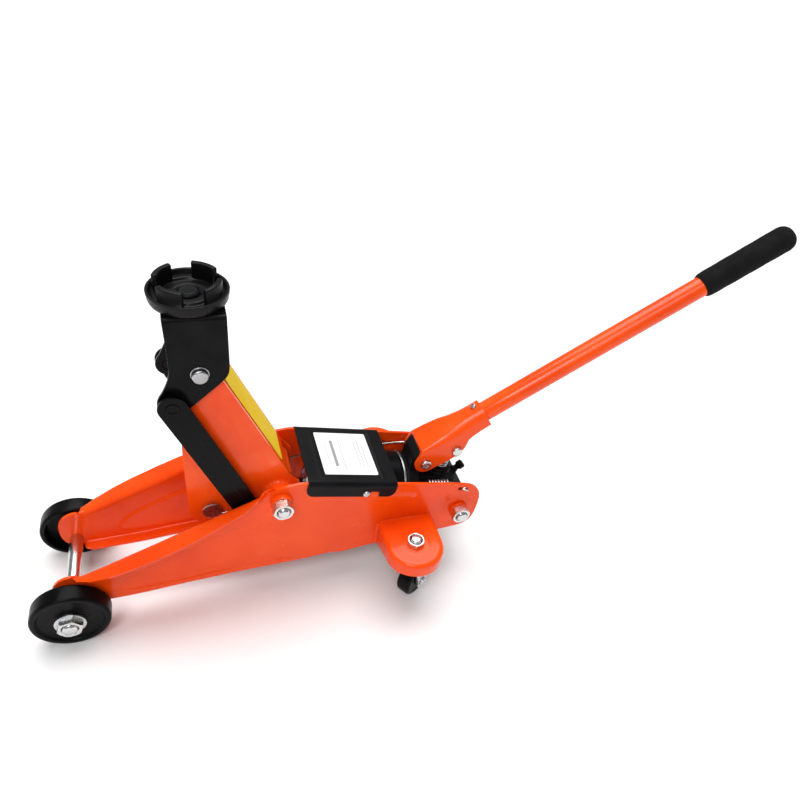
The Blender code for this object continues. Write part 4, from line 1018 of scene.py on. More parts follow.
# ------------------------------------------------------------------------ saddle
sd = turned("saddle_plate_body", soften_loop([(5.3, 311.0), (9.4, 311.0), (10.4, 311.9), (15.8, 311.9), (17.0, 310.2), (19.0, 310.2), (20.2, 312.0), (24.2, 312.0),
                                         (25.4, 311.2), (26.6, 315.4), (SADDLE_R - 0.2, 315.5), (28.5, 313.6), (27.9, 309.4), (27.0, 306.9), (5.3, 306.9)], 0.6, 3),
            frame_z(SADDLE[0], 0, 0), SADDLE_BLACK, 112, closed=True)
for k in range(4):
    a0 = 53.5 + 90 * k
    out = []
    for i in range(17):
        q = math.radians(a0 - 26 + 52 * i / 16)
        out.append((23.8 * math.cos(q), 23.8 * math.sin(q)))
    for i in range(17):
        q = math.radians(a0 + 26 - 52 * i / 16)
        out.append((20.0 * math.cos(q), 20.0 * math.sin(q)))
    prong = extrude("tool", [out], 13.0, frame_z(SADDLE[0], 0, 317.2), None)
    # prongs lean out slightly and their tops are cast round
    for v_ in prong.data.vertices:
        h = (v_.co.z / MM - 310.7) / 13.0
        dx, dy = v_.co.x - W(SADDLE[0], 0, 0).x, v_.co.y
        r_ = math.hypot(dx, dy)
        k_ = 1 + (0.010 * h) if r_ > 22 * MM else 1 - 0.012 * (1 - h)
        v_.co.x += dx * (k_ - 1)
        v_.co.y += dy * (k_ - 1)
    prong = bevel(prong, 1.0, 3, 40)
    prong = bake(prong)
    sd = join(sd, prong)
sd.data.shade_smooth()
smooth(sd.data, 34)
show(sd, "saddle_plate", ["saddle"], SADDLE_BLACK)

# ------------------------------------------------------------------------- cover
cs, sn = math.cos(PLATE_SLOPE), math.sin(PLATE_SLOPE)
COVER0 = (204.0, 141.9)
COVER_LEN = 83.6


def cover_pt(s_, drop=0.0):
    return (COVER0[0] + s_ * cs - drop * sn, COVER0[1] - s_ * sn - drop * cs)


def cover_skin():
    hw = 38.9
    rb = 5.0
    stations = []
    s_ = 0.0
    while s_ < COVER_LEN - 0.05:
        stations.append(s_)
        step = 0.5 if (s_ < 9 or s_ > COVER_LEN - 9 or 56 < s_ < 71) else 1.6
        s_ += step
    stations.append(COVER_LEN)
    stations = sorted(set(stations + [59.4, 68.6, 59.3, 68.7]))
    full = 15.8
    rc = 7.0
    rows = []
    label_c, label_h, label_w = 41.75, 26.6, 29.0
    for s_ in stations:
        # flap depth: rounded at both ends, with a notch over the screw
        depth = full
        if s_ < rc:
            depth = full - rc + math.sqrt(max(0.0, rc * rc - (rc - s_) ** 2))
        elif s_ > COVER_LEN - rc:
            q = s_ - (COVER_LEN - rc)
            depth = full - rc + math.sqrt(max(0.0, rc * rc - q * q))
        if 59.4 <= s_ <= 68.6:
            depth = min(depth, 9.6)
        row = []
        half = []
        for k in range(10):
            d = depth - (depth - rb) * k / 10
            half.append((hw, d))
        for k in range(9):
            q = math.radians(90 * k / 8)
            half.append((hw - rb + rb * math.cos(q), rb - rb * math.sin(q)))
        top = hw - rb
        n_t = 34
        sec = [(-y, d) for y, d in half]
        for k in range(1, n_t):
            y = -top + 2 * top * k / n_t
            # shallow raised frame round the label
            u_ = abs(s_ - label_c) - label_h
            v_ = abs(y - 0.0) - label_w
            dd = max(u_, v_) if (u_ < 0 or v_ < 0) else math.hypot(u_, v_)
            lift = 1.0 * math.exp(-((dd - 2.1) / 0.7) ** 2)
            sec.append((y, -lift * 0.8))
        sec += [(y, d) for y, d in reversed(half)]
        for y, d in sec:
            x, z = cover_pt(s_, d)
            row.append(W(x, y, z))
        rows.append(row)
    ob = grid_mesh("cover_pressing", rows, BLACK_SATIN)
    bm = bmesh.new()
    bm.from_mesh(ob.data)
    bmesh.ops.recalc_face_normals(bm, faces=bm.faces)
    f = min(bm.faces, key=lambda f_: (f_.calc_center_median() - W(245, 0, 135)).length)
    if f.normal.z < 0:
        bmesh.ops.reverse_faces(bm, faces=bm.faces)
    bm.to_mesh(ob.data)
    bm.free()
    m = ob.modifiers.new("sheet", 'SOLIDIFY')
    m.thickness = 1.5 * MM
    m.offset = -1.0
    m.use_even_offset = False
    m.use_quality_normals = True
    ob = bake(ob)
    smooth(ob.data, 42)
    return ob


cv = cover_skin()
show(cv, "frame", ["cover"], BLACK_SATIN)
lab_m = (Matrix.Translation(W(COVER0[0], 0, COVER0[1])) @ Matrix.Rotation(PLATE_SLOPE, 4, 'Y') @ Matrix.Translation((0, 0.0, 0.0004)))
label = extrude("cover_label_film", [rounded([(16.5, -27.5), (67.0, -27.5), (67.0, 27.5), (16.5, 27.5)], 1.2, 5)], 0.5, lab_m, None)
LABEL = print_label("cover_label_print", tuple(lab_m @ Vector((16.5 * MM, 0, 0))), (cs, 0.0, -sn), (0.0, 1.0, 0.0))
show(label, "frame", ["cover_label"], LABEL)
for side, s in (("left", -1), ("right", 1)):
    screw = turned("cover_screw_%s_body" % side, soften([(0, 40.5), (0.7, 40.6), (0.9, 41.4), (2.0, 41.4), (3.0, 40.7), (3.25, 39.8), (3.25, 38.95), (2.0, 38.9), (2.0, 32.2), (0, 32.2)], 0.3, 2),
                   axis_y(256.0, 119.6, s), ZINC, 40)
    show(screw, "frame", ["cover_screw_" + side])

# --------------------------------------------------------------- caster brackets
CB_Z, CB_R = 76.0, 27.0


def caster_bracket():
    cx, cy = CASTER
    y_in = -(PLATE_OUT + 0.05)
    path = []
    for i in range(13):
        f_ = i / 12
        path.append((cx - CB_R, y_in + (-cy - y_in) * f_, 31.0 - 15.5 * f_ ** 0.8 if f_ > 0 else 31.0))
    for i in range(1, 48):
        a = math.pi + math.pi * i / 48
        path.append((cx + CB_R * math.cos(a), -cy + CB_R * math.sin(a), 14.0 + 1.4 * math.cos(math.pi * i / 48) ** 2))
    for i in range(12, -1, -1):
        f_ = i / 12
        path.append((cx + CB_R, y_in + (-cy - y_in) * f_, 26.0 - 10.6 * f_ ** 0.8 if f_ > 0 else 26.0))

    def at(x, y, r_):
        """A point of the path pulled in towards the centre line, at radius r_ instead of CB_R."""
        if y < -cy:
            v = Vector((x - cx, y + cy)).normalized() * r_
            return cx + v.x, -cy + v.y
        return cx + (1 if x > cx else -1) * r_, y
    sh_r = 4.6
    prof = []
    for k in range(9):
        q = math.radians(90 * k / 8)
        prof.append((CB_R - sh_r + sh_r * math.sin(q), sh_r - sh_r * math.cos(q)))
    rows = []
    radii = [0.0, 3, 6, 9, 11, 12, 12.6, 13.2, 13.8, 14.4, 15.2, 16.2, 18.0, 20.2]
    for r_ in radii:
        rows.append([(*at(x, y, r_), 0.0, r_) for x, y, d in path])
    for r_, d0 in prof:
        rows.append([(*at(x, y, r_), d0, r_) for x, y, d in path])
    for k in range(1, 9):
        rows.append([(*at(x, y, CB_R), sh_r + (d - sh_r) * k / 8, CB_R) for x, y, d in path])
    out = []
    for row in rows:
        line = []
        for x, y, drop, r_ in row:
            rr = math.hypot(x - cx, y + cy)
            # low ring pressed round the nut
            lift = 0.25 * (1 - sstep(12.0, 15.0, rr)) if y < y_in - 3 else 0.0
            line.append(W(x, y, CB_Z - drop + (lift if drop == 0 else 0) - 0.9 * 0))
        out.append(line)
    ob = grid_mesh("caster_bracket_left_skin", out, ORANGE)
    bm = bmesh.new()
    bm.from_mesh(ob.data)
    bmesh.ops.recalc_face_normals(bm, faces=bm.faces)
    f = min(bm.faces, key=lambda f_: (f_.calc_center_median() - W(cx, -cy + 17, CB_Z)).length)
    if f.normal.z < 0:
        bmesh.ops.reverse_faces(bm, faces=bm.faces)
    bm.to_mesh(ob.data)
    bm.free()
    m = ob.modifiers.new("sheet", 'SOLIDIFY')
    m.thickness = 3.0 * MM
    m.offset = -1.0
    m.use_even_offset = False
    m.use_quality_normals = True
    ob = bake(ob)
    ob = cut(ob, rod("cutter", W(cx, -cy, 60), W(cx, -cy, 90), 5.2, None, 40))
    smooth(ob.data, 40)
    return ob


def weld_bead(name, pts, r, seed):
    """A rippled weld seam laid along a line of points (mm)."""
    rnd = random.Random(seed)
    line = []
    dense = []
    for a, b in zip(pts[:-1], pts[1:]):
        a, b = Vector(a), Vector(b)
        m_ = max(2, int((b - a).length / 0.55))
        for k in range(m_):
            dense.append(a + (b - a) * k / m_)
    dense.append(Vector(pts[-1]))
    rows = []
    n_ = len(dense)
    for i, p in enumerate(dense):
        t_ = (dense[min(i + 1, n_ - 1)] - dense[max(i - 1, 0)]).normalized()
        up = Vector((0, 1, 0)) if abs(t_.y) < 0.8 else Vector((1, 0, 0))
        s1 = t_.cross(up).normalized()
        s2 = t_.cross(s1).normalized()
        end = min(1.0, (i + 0.4) / 3.0, (n_ - 1 - i + 0.4) / 3.0)
        rr = r * math.sqrt(end) * (1 + 0.12 * math.sin(i * 1.9) + rnd.uniform(-0.07, 0.07))
        rows.append([W(*(p + s1 * (rr * math.cos(q)) + s2 * (rr * math.sin(q)))) for q in [2 * math.pi * k / 14 for k in range(15)]])
    ob = grid_mesh(name, rows, ORANGE)
    bm = bmesh.new()
    bm.from_mesh(ob.data)
    bmesh.ops.holes_fill(bm, edges=[e for e in bm.edges if e.is_boundary], sides=0)
    bmesh.ops.recalc_face_normals(bm, faces=bm.faces)
    bm.to_mesh(ob.data)
    bm.free()
    smooth(ob.data, 60)
    return ob


cb = caster_bracket()
cbr = mirror_y(cb, "caster_bracket_right_skin")
smooth(cbr.data, 40)
show(cb, "frame", ["caster_bracket_left"], ORANGE)
show(cbr, "frame", ["caster_bracket_right"], ORANGE)
for side, s in (("left", -1), ("right", 1)):
    cx, cy = CASTER[0], s * CASTER[1]
    yw = s * (PLATE_OUT + 0.6)
    seam = weld_bead("caster_weld_" + side, [(cx - CB_R - 0.4, yw, 46.5), (cx - CB_R - 0.4, yw, 60.0), (cx - CB_R - 0.2, yw, 73.4)], 1.9, 5)
    show(seam, "frame", [], ORANGE)
    st = turned("caster_stud_%s_body" % side, soften([(0, 83.0), (3.8, 83.0), (4.6, 82.4)] + thread(4.6, 82.2, 77.0, 1.25, 0.5) + [(5.0, 75.8), (5.0, 63.2), (8.0, 63.2), (8.0, 59.4), (0, 59.4)], 0.15, 1),
                frame_z(cx, cy, 0), ZINC_TURNED, 48)
    show(st, "frame", ["caster_stud_" + side])
    nt = hex_blank_z("caster_nut_" + side, cx, cy, CB_Z + 0.4, 81.0, 8.4, 5.7, 20, ZINC)
    smooth(nt.data, 32)
    show(nt, "frame", [], ZINC)
    swing = Matrix.Translation(W(cx, cy, 0)) @ Matrix.Rotation(CASTER_YAW, 4, 'Z') @ Matrix.Translation(-W(cx, cy, 0))
    # fork: bearing cup and a folded yoke
    wx = cx + CASTER_TRAIL
    cup = turned("fork_cup_" + side, soften_loop([(5.3, 72.6), (9.5, 72.6), (16.5, 66.4), (16.5, 63.6), (5.3, 63.6)], 1.0, 4), frame_z(cx, cy, 0), ZINC, 72, closed=True)
    legs = []
    for t in (-1, 1):
        y0, y1 = cy + t * 8.6, cy + t * 10.8
        leg = plate_y("leg", [rounded([(cx - 11.0, 66.2), (cx + 11.5, 66.2), (wx + 7.8, CASTER_R + 2), (wx + 5.4, CASTER_R - 8.2),
                                       (wx - 5.4, CASTER_R - 8.2), (wx - 7.3, CASTER_R + 3)], [1, 1, 6, 6, 6, 6], 8), ring_pts(wx, CASTER_R, 3.2, 24)], y0, y1, ZINC)
        cup = join(cup, leg)
    cup.name = "caster_fork_%s_yoke" % side
    cup.data.transform(swing)
    cup = bevel(cup, 0.3, 2, 40)
    show(cup, "caster_" + side, ["caster_fork_" + side], ZINC)
    wh = turned("caster_wheel_%s_roll" % side,
                soften_loop([(3.3, 7.6), (7.0, 7.6), (8.0, 6.6), (14.0, 6.6), (15.4, 7.4), (17.2, 7.2), (CASTER_R, 5.2), (CASTER_R, -5.2), (17.2, -7.2), (15.4, -7.4),
                             (14.0, -6.6), (8.0, -6.6), (7.0, -7.6), (3.3, -7.6)], 0.9, 4),
                Matrix.Translation(W(wx, cy, CASTER_R)) @ Matrix.Rotation(-math.pi / 2, 4, 'X'), WHEEL_BLACK, 80, closed=True, angle=45)
    wh.data.transform(swing)
    show(wh, "caster_roll_" + side, ["caster_wheel_" + side])
    ax_ = turned("caster_axle_%s_body" % side,
                 soften([(0, 13.2), (4.0, 13.2), (4.6, 12.4), (4.6, 11.0), (3.0, 11.0), (3.0, -11.0), (4.6, -11.0), (4.6, -12.4), (4.0, -13.2), (0, -13.2)], 0.3, 2),
                 Matrix.Translation(W(wx, cy, CASTER_R)) @ Matrix.Rotation(-math.pi / 2, 4, 'X'), ZINC, 36)
    ax_.data.transform(swing)
    show(ax_, "caster_" + side, ["caster_axle_" + side])


# -------------------------------------------------------------------- power unit
u = (Vector(R) - Vector(T)).normalized()
n = Vector((-u.y, u.x))
if n.y < 0:
    n = -n


def unit_pt(s_, h=0.0):
    p = Vector(T) + u * s_ + n * h
    return (p.x, p.y)


def unit_axis(s_):
    x, z = unit_pt(s_)
    zc = Vector((u.x, 0, u.y))
    yc = Vector((0, 1, 0))
    xc = yc.cross(zc)
    return Matrix.Translation(W(x, 0, z)) @ Matrix((xc, yc, zc)).transposed().to_4x4()


CYL_R, BORE_R, ROD_R, PISTON_R, GLAND = 19.4, 12.4, 8.0, 12.1, 146.0
res = turned("reservoir_can", soften_loop([(20.0, 138.0), (30.4, 138.0), (31.4, 136.8), (31.4, 60.0), (31.4, 57.6), (29.2, 57.6), (29.2, 134.6), (20.0, 134.6)], 1.6, 5),
             unit_axis(0), BLACK, 112, closed=True)
res = cut(res, rod("cutter", W(unit_pt(98, 20)[0], 0, unit_pt(98, 20)[1]), W(unit_pt(98, 40)[0], 0, unit_pt(98, 40)[1]), 3.4, None, 32))
smooth(res.data, 40)
show(res, "power_unit", ["reservoir"], BLACK)
ringn = turned("reservoir_ring_band", soften_loop([(21.0, 57.3), (31.9, 57.3), (31.9, 55.0), (21.0, 55.0)], 0.6, 4), unit_axis(0), STEEL, 112, closed=True)
show(ringn, "power_unit", ["reservoir_ring"])
cyl = turned("ram_cylinder_body", soften_loop([(ROD_R + 0.3, GLAND), (10.6, GLAND), (11.0, GLAND - 1.2), (14.6, GLAND - 1.2), (15.0, GLAND), (CYL_R - 1.2, GLAND), (CYL_R, GLAND - 1.2),
                                          (CYL_R, 54.6), (BORE_R, 54.6), (BORE_R, GLAND - 8.0), (ROD_R + 0.3, GLAND - 8.0)], 0.4, 2),
             unit_axis(0), STEEL, 80, closed=True)
show(cyl, "power_unit", ["ram_cylinder"])

cast_pts = rounded([(305.5, 57.0), (352.0, 60.0), (366.5, 66.0), (369.5, 76.0), (360.5, 93.0), (351.0, 98.0), (306.0, 104.5)],
                   [2, 8, 4, 4, 4, 4, 2], 4)
casting = plate_y("pump_casting_body", [cast_pts], -24.0, 24.0, CAST)
flange = turned("tool", [(0, 54.0), (30.2, 54.0), (31.0, 53.2), (31.0, 42.8), (30.2, 42.0), (0, 42.0)], unit_axis(0), None, 72)
boss = rod("tool", W(T[0], -34.0, T[1]), W(T[0], 34.0, T[1]), 13.0, None, 48)
lug_pts = ring_pts(P1[0], P1[1], 12.2, 20, 20, 165) + [(303.5, 103.0), (306.0, 92.0), (330.0, 92.0), (334.0, 100.0)]
lug = plate_y("tool", [lug_pts], -13.4, 13.4)
pb0, pb1 = Vector(PUMP_AX) + n * (-16.8), Vector(PUMP_AX) + n * (-36.0)
pboss = rod("tool", W(pb1.x, 0, pb1.y), W(pb0.x, 0, pb0.y), 10.5, None, 48)
casting = join(casting, flange, boss, lug, pboss)
rm = casting.modifiers.new("skin", 'REMESH')
rm.mode = 'VOXEL'
rm.voxel_size = 0.00085
sm = casting.modifiers.new("soft", 'SMOOTH')
sm.factor = 0.5
sm.iterations = 4
dm = casting.modifiers.new("thin", 'DECIMATE')
dm.ratio = 0.30
casting = bake(casting, weld=False)
pc1, pc0 = Vector(PUMP_AX) + n * (-52.0), Vector(PUMP_AX) + n * 5.0
vd = Vector((0.743, 0.669))
v0 = Vector((354.0, 88.0)) - vd * 14.0
va = v0 + vd * 11.5
v1 = v0 + vd * 40.0
casting = cut(casting, rod("cutter", W(pc1.x, 0, pc1.y), W(pc0.x, 0, pc0.y), 4.8, None, 32),
              hole_y(P1[0], P1[1], 5.3, -20, 20, 32),
              rod("cutter", W(T[0], -40, T[1]), W(T[0], -11, T[1]), 7.3, None, 40),
              rod("cutter", W(T[0], 11, T[1]), W(T[0], 40, T[1]), 7.3, None, 40),
              rod("cutter", W(va.x, 0, va.y), W(v1.x, 0, v1.y), 4.2, None, 32))
smooth(casting.data, 50)
show(casting, "power_unit", ["pump_casting"], CAST)

for side, s in (("left", -1), ("right", 1)):
    bl = turned("unit_bolt_%s_shank" % side, soften([(0, 51.0), (4.1, 51.0), (4.9, 50.2)] + thread(4.95, 49.9, 47.4, 1.0, 0.45) + [(4.95, 42.0), (7.0, 41.8), (7.0, 12.2), (6.2, 11.4), (0, 11.4)], 0.15, 1),
                axis_y(T[0], T[1], s), ZINC_TURNED, 56)
    show(bl, "power_unit", ["unit_bolt_" + side])
    hx = hex_blank("unit_bolt_%s_head" % side, T[0], T[1], 42.0, 49.0, 9.2, 5.5, 15, s, ZINC, 0.9)
    smooth(hx.data, 32)
    show(hx, "power_unit", [], ZINC)
    # the plain collar between the bolt head and the side plate
    col = turned("unit_bolt_%s_collar" % side, soften_loop([(7.05, 41.7), (8.6, 41.7), (9.2, 41.0), (9.2, 38.2), (7.05, 38.2)], 0.4, 3), axis_y(T[0], T[1], s), ORANGE, 64, closed=True)
    show(col, "power_unit", [], ORANGE)

vz = Vector((vd.x, 0, vd.y))
vm = Matrix.Translation(W(v0.x, 0, v0.y)) @ vz.to_track_quat('Z', 'Y').to_matrix().to_4x4()
knob = turned("release_valve_stem", soften([(0, 33.0), (3.4, 33.0), (4.4, 32.0), (4.4, 27.2), (3.0, 26.4), (3.0, 24.0), (3.8, 23.2), (3.8, 13.0), (0, 13.0)], 0.4, 3), vm, BLACK, 48)
for q in (0, 90):
    bm = bmesh.new()
    bmesh.ops.create_cube(bm, size=1.0)
    me = bpy.data.meshes.new("cutter")
    bm.to_mesh(me)
    bm.free()
    me.transform(vm @ Matrix.Translation((0, 0, 33.0 * MM)) @ Matrix.Rotation(math.radians(q + 20), 4, 'Z') @ Matrix.Diagonal((0.012, 0.0012, 0.0036, 1.0)))
    knob = cut(knob, obj("cutter", me))
smooth(knob.data, 35)
show(knob, "valve", ["release_valve"], BLACK)

ram = turned("ram_rod_bar", [(0, 220.0), (ROD_R, 220.0), (ROD_R, 137.2), (PISTON_R - 0.5, 137.2), (PISTON_R, 136.7), (PISTON_R, 133.2), (PISTON_R - 0.9, 133.2), (PISTON_R - 0.9, 130.2),
                             (PISTON_R, 130.2), (PISTON_R, 126.7), (PISTON_R - 0.5, 126.2), (0, 126.2)], unit_axis(0), CHROME, 64)
show(ram, "ram", ["ram_rod"])
cross = turned("ram_crosshead", soften([(0, 18.8), (12.6, 18.8), (13.6, 17.8), (13.6, -17.8), (12.6, -18.8), (0, -18.8)], 0.5, 3), axis_y(R[0], R[1]), STEEL, 72)
show(cross, "ram", [])

px, pz = unit_pt(98.0, 31.4)
plug_m = Matrix.Translation(W(px, 0, pz)) @ Vector((n.x, 0, n.y)).to_track_quat('Z', 'Y').to_matrix().to_4x4()
plug = turned("oil_plug_body", soften([(0, 2.2), (2.2, 2.6), (3.0, 3.0), (4.5, 3.0), (5.5, 2.2), (5.5, 0.35), (3.2, 0.35), (3.2, -5.0), (0, -5.0)], 0.5, 3), plug_m, FOAM, 48)
show(plug, "power_unit", ["oil_plug"])

pm = Matrix.Translation(W(PUMP_AX[0], 0, PUMP_AX[1])) @ Vector((n.x, 0, n.y)).to_track_quat('Z', 'Y').to_matrix().to_4x4()
pl = turned("pump_plunger_body", soften([(0, 7.0), (5.4, 7.0), (7.0, 6.0), (7.0, 3.6), (4.5, 3.6), (4.5, -32.4), (3.9, -33.0), (0, -33.0)], 0.5, 3), pm, CHROME, 56)
show(pl, "plunger", ["pump_plunger"])


# ----------------------------------------------------------------- coils of wire
def wire(name, pts, r, mat, seg=10):
    """A round wire along a dense list of mm points (parallel-transported section)."""
    P = [Vector(p) for p in pts]
    n_ = len(P)
    tan = [(P[min(i + 1, n_ - 1)] - P[max(i - 1, 0)]).normalized() for i in range(n_)]
    ref = Vector((0, 0, 1)) if abs(tan[0].z) < 0.9 else Vector((1, 0, 0))
    a = (ref - tan[0] * ref.dot(tan[0])).normalized()
    bm = bmesh.new()
    rows = []
    for i in range(n_):
        a = (a - tan[i] * a.dot(tan[i])).normalized()
        b = tan[i].cross(a)
        rows.append([bm.verts.new(W(*(P[i] + a * (r * math.cos(2 * math.pi * k / seg)) + b * (r * math.sin(2 * math.pi * k / seg))))) for k in range(seg)])
    for i in range(n_ - 1):
        for k in range(seg):
            k2 = (k + 1) % seg
            bm.faces.new([rows[i][k], rows[i][k2], rows[i + 1][k2], rows[i + 1][k]])
    bm.faces.new(list(reversed(rows[0])))
    bm.faces.new(rows[-1])
    bmesh.ops.recalc_face_normals(bm, faces=bm.faces)
    me = bpy.data.meshes.new(name)
    bm.to_mesh(me)
    bm.free()
    smooth(me, 50)
    return obj(name, me, mat)


def spline3(points, per=8):
    pts = [Vector(p) for p in points]
    out = []
    for i in range(len(pts) - 1):
        p0 = pts[i - 1] if i > 0 else pts[i] * 2 - pts[i + 1]
        p1, p2 = pts[i], pts[i + 1]
        p3 = pts[i + 2] if i + 2 < len(pts) else pts[i + 1] * 2 - pts[i]
        for k in range(per):
            t = k / per
            out.append(0.5 * ((2 * p1) + (p2 - p0) * t + (2 * p0 - 5 * p1 + 4 * p2 - p3) * t * t + (3 * p1 - p0 - 3 * p2 + p3) * t ** 3))
    out.append(pts[-1])
    return out


for side, s in (("left", -1), ("right", 1)):
    rc_, wr = 3.6, 0.85
    turns = 8
    x0, x1 = 342.6, 317.8
    z0, z1 = 105.6, 109.8
    pts = spline3([(358.4, s * 39.6, 102.4), (357.6, s * 39.0, 103.6), (355.4, s * 38.7, 104.3), (353.6, s * 37.6, 104.4), (352.6, s * 35.2, 104.6),
                   (351.2, s * 32.4, 104.9), (348.2, s * 30.4, 104.9), (344.9, s * 29.4, 106.4)], 6)[:-1]
    m_ = turns * 22
    for i in range(m_ + 1):
        f_ = i / m_
        q = 2 * math.pi * turns * f_ + math.pi / 2
        ease = min(1.0, (i + 8) / 26, (m_ - i + 8) / 26)
        pts.append(Vector((x0 + (x1 - x0) * f_, s * (29.4 - rc_ * ease * math.cos(q)), z0 + (z1 - z0) * f_ + rc_ * ease * math.sin(q))))
    last = pts[-1]
    tail = [(316.2, s * 29.7, 110.2), (311.0, s * 31.4, 109.0), (300.0, s * 32.7, 108.4), (280.0, s * 32.9, 107.6), (248.0, s * 32.9, 106.9), (215.0, s * 32.9, 106.8), (196.0, s * 30.4, 106.6), (182.0, s * 27.6, 106.3),
            (170.0, s * 25.6, 106.0), (150.0, s * 25.0, 105.8), (136.0, s * 25.0, 105.7), (123.4, s * 25.0, 105.6), (119.6, s * 25.0, 106.6), (117.4, s * 25.0, 109.2), (116.9, s * 25.0, 112.0), (117.6, s * 25.0, 114.4)]
    pts += spline3([tuple(last)] + tail, 6)[1:]
    sp = wire("return_spring_%s_wire" % side, pts, wr, SPRING_WIRE, 10)
    show(sp, "return_springs", ["return_spring_" + side])
    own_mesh(sp)

# spring round the pump plunger, from the casting's boss to the plunger's head
pts = []
turns = 6.5
m_ = int(turns * 30)
for i in range(m_ + 1):
    f_ = i / m_
    q = 2 * math.pi * turns * f_
    # closed end coils
    h = -16.0 + 18.8 * (f_ + 0.055 * math.sin(2 * math.pi * f_) * -1)
    loc = Vector((math.cos(q) * 5.9 * MM, math.sin(q) * 5.9 * MM, h * MM))
    w = pm @ loc
    pts.append(((w.x - X_SHIFT) / MM, w.y / MM, w.z / MM))
psp = wire("plunger_spring_wire", pts, 0.8, SPRING_WIRE, 10)
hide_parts("plunger_spring")
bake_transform(psp)

# ------------------------------------------------------------------------ handle
hd = math.radians(HANDLE_DEG)
hx_, kx_ = Vector((math.cos(hd), math.sin(hd))), Vector((-math.sin(hd), math.cos(hd)))


def hp(a, b):
    p = Vector(P1) + hx_ * a + kx_ * b
    return (p.x, p.y)


def interp(table, a, col):
    return float(np.interp(a, [t[0] for t in table], [t[col] for t in table]))


# station, half width, top, corner radius, lower edge, how far the lower edge curls under
SOCKET = [(-10.6, 17.0, 16.6, 5.0, -2.0, 0.0), (4.0, 17.0, 16.6, 5.0, -2.0, 0.0), (16.0, 17.0, 16.8, 6.5, -5.0, 0.0), (30.0, 16.4, 16.8, 9.0, -6.0, 0.0),
          (42.0, 14.6, 16.8, 11.8, -5.5, 1.0), (52.0, 13.3, 17.0, 12.7, -6.0, 3.5), (60.0, 13.0, 17.0, 12.9, -7.0, 6.0), (72.0, 13.0, 17.0, 12.9, -7.3, 7.5)]
SOCK_T = 2.6


def ear_low(a):
    """Lower edge of the ears along the handle."""
    table = [(-10.6, 0.0), (-10.0, -3.5), (-8.4, -6.4), (-6.0, -8.7), (-3.0, -10.2), (0.0, -10.6), (6.0, -10.9), (20.0, -12.2), (33.0, -13.0),
             (37.5, -11.6), (42.0, -9.0), (46.0, -6.2), (52.0, -6.0)]
    return float(np.interp(a, [t[0] for t in table], [t[1] for t in table]))


def socket_simple():
    """Pressed socket: a channel body with two ears, built as a closed grid from -10.6 to 72."""
    n_a = 96
    a_list = [(-10.6 + 82.6 * i / n_a) for i in range(n_a + 1)]
    rows = []
    for a in a_list:
        hw, r = interp(SOCKET, a, 1), interp(SOCKET, a, 3)
        top, bot, curl = interp(SOCKET, a, 2), interp(SOCKET, a, 4), interp(SOCKET, a, 5)
        low = min(ear_low(a), 99) if a < 44 else (ear_low(a) * (1 - sstep(44, 52, a)) + bot * sstep(44, 52, a) if a < 52 else bot)
        half = []
        wall_top = top - r
        for k in range(8):
            q = math.radians(90 * k / 8)
            half.append((hw - curl + curl * math.sin(q), low + curl * 0.9 * (1 - math.cos(q)) + (0.0 if curl > 0.05 else (wall_top - low) * 0.04 * k)))
        start = half[-1][1] + 0.4
        for k in range(12):
            half.append((hw, start + (wall_top - start) * k / 12))
        for k in range(13):
            q = math.radians(90 * k / 12)
            half.append((hw - r + r * math.cos(q), wall_top + r * math.sin(q)))
        top_in = half[-1][0]
        mid = [(top_in - 2 * top_in * k / 8, half[-1][1]) for k in range(1, 8)]
        sec = half + mid + [(-y, b) for y, b in reversed(half)]
        rows.append([W(hp(a, b)[0], y, hp(a, b)[1]) for y, b in sec])
    ob = grid_mesh("handle_socket_skin", rows, ORANGE)
    bm = bmesh.new()
    bm.from_mesh(ob.data)
    bmesh.ops.recalc_face_normals(bm, faces=bm.faces)
    c = W(hp(40, 17)[0], 0, hp(40, 17)[1])
    f = min(bm.faces, key=lambda f_: (f_.calc_center_median() - c).length)
    if f.normal.z < 0:
        bmesh.ops.reverse_faces(bm, faces=bm.faces)
    bm.to_mesh(ob.data)
    bm.free()
    m = ob.modifiers.new("sheet", 'SOLIDIFY')
    m.thickness = SOCK_T * MM
    m.offset = -1.0
    m.use_even_offset = False
    m.use_quality_normals = True
    ob = bake(ob)
    # the front of the channel is cut away above the ears
    open_front = [hp(-14.0, -1.0), hp(-10.9, -1.0), hp(-10.2, 3.2), hp(-8.6, 6.2), hp(-6.8, 8.1), hp(4.0, 15.1), hp(4.6, 20.0), hp(-14.0, 20.0)]
    ob = cut(ob, plate_y("cutter", [open_front], -22, 22))
    return ob


sk = socket_simple()
sk = cut(sk, hole_y(P1[0], P1[1], 5.2, -25, 25, 40), hole_y(P2[0], P2[1], 5.2, -25, 25, 40))
sk = boolean(sk, rod("cutter", W(hp(66.0, 8.0)[0], 0, hp(66.0, 8.0)[1]), W(hp(66, 24)[0], 0, hp(66, 24)[1]), 2.7, None, 31), 'DIFFERENCE', 'MANIFOLD')
smooth(sk.data, 36)
show(sk, "handle", ["handle_socket"], ORANGE)
for nm, p in (("socket_pin", P1), ("roller_pin", P2)):
    pin = turned(nm + "_body", soften([(0, 19.6), (3.4, 19.6), (4.4, 19.4), (5.0, 18.8), (5.0, -18.8), (4.4, -19.4), (3.4, -19.6), (0, -19.6)], 0.3, 2), axis_y(*p), ZINC_TURNED, 48)
    show(pin, "handle", [nm])
rol = plate_y("pump_roller_ring", [ring_pts(P2[0], P2[1], 6.6, 64), ring_pts(P2[0], P2[1], 5.2, 64)], -8, 8, STEEL)
rol = bevel(rol, 0.4, 2, 40)
show(rol, "roller", ["pump_roller"], STEEL)
hz = Vector((hx_.x, 0, hx_.y))
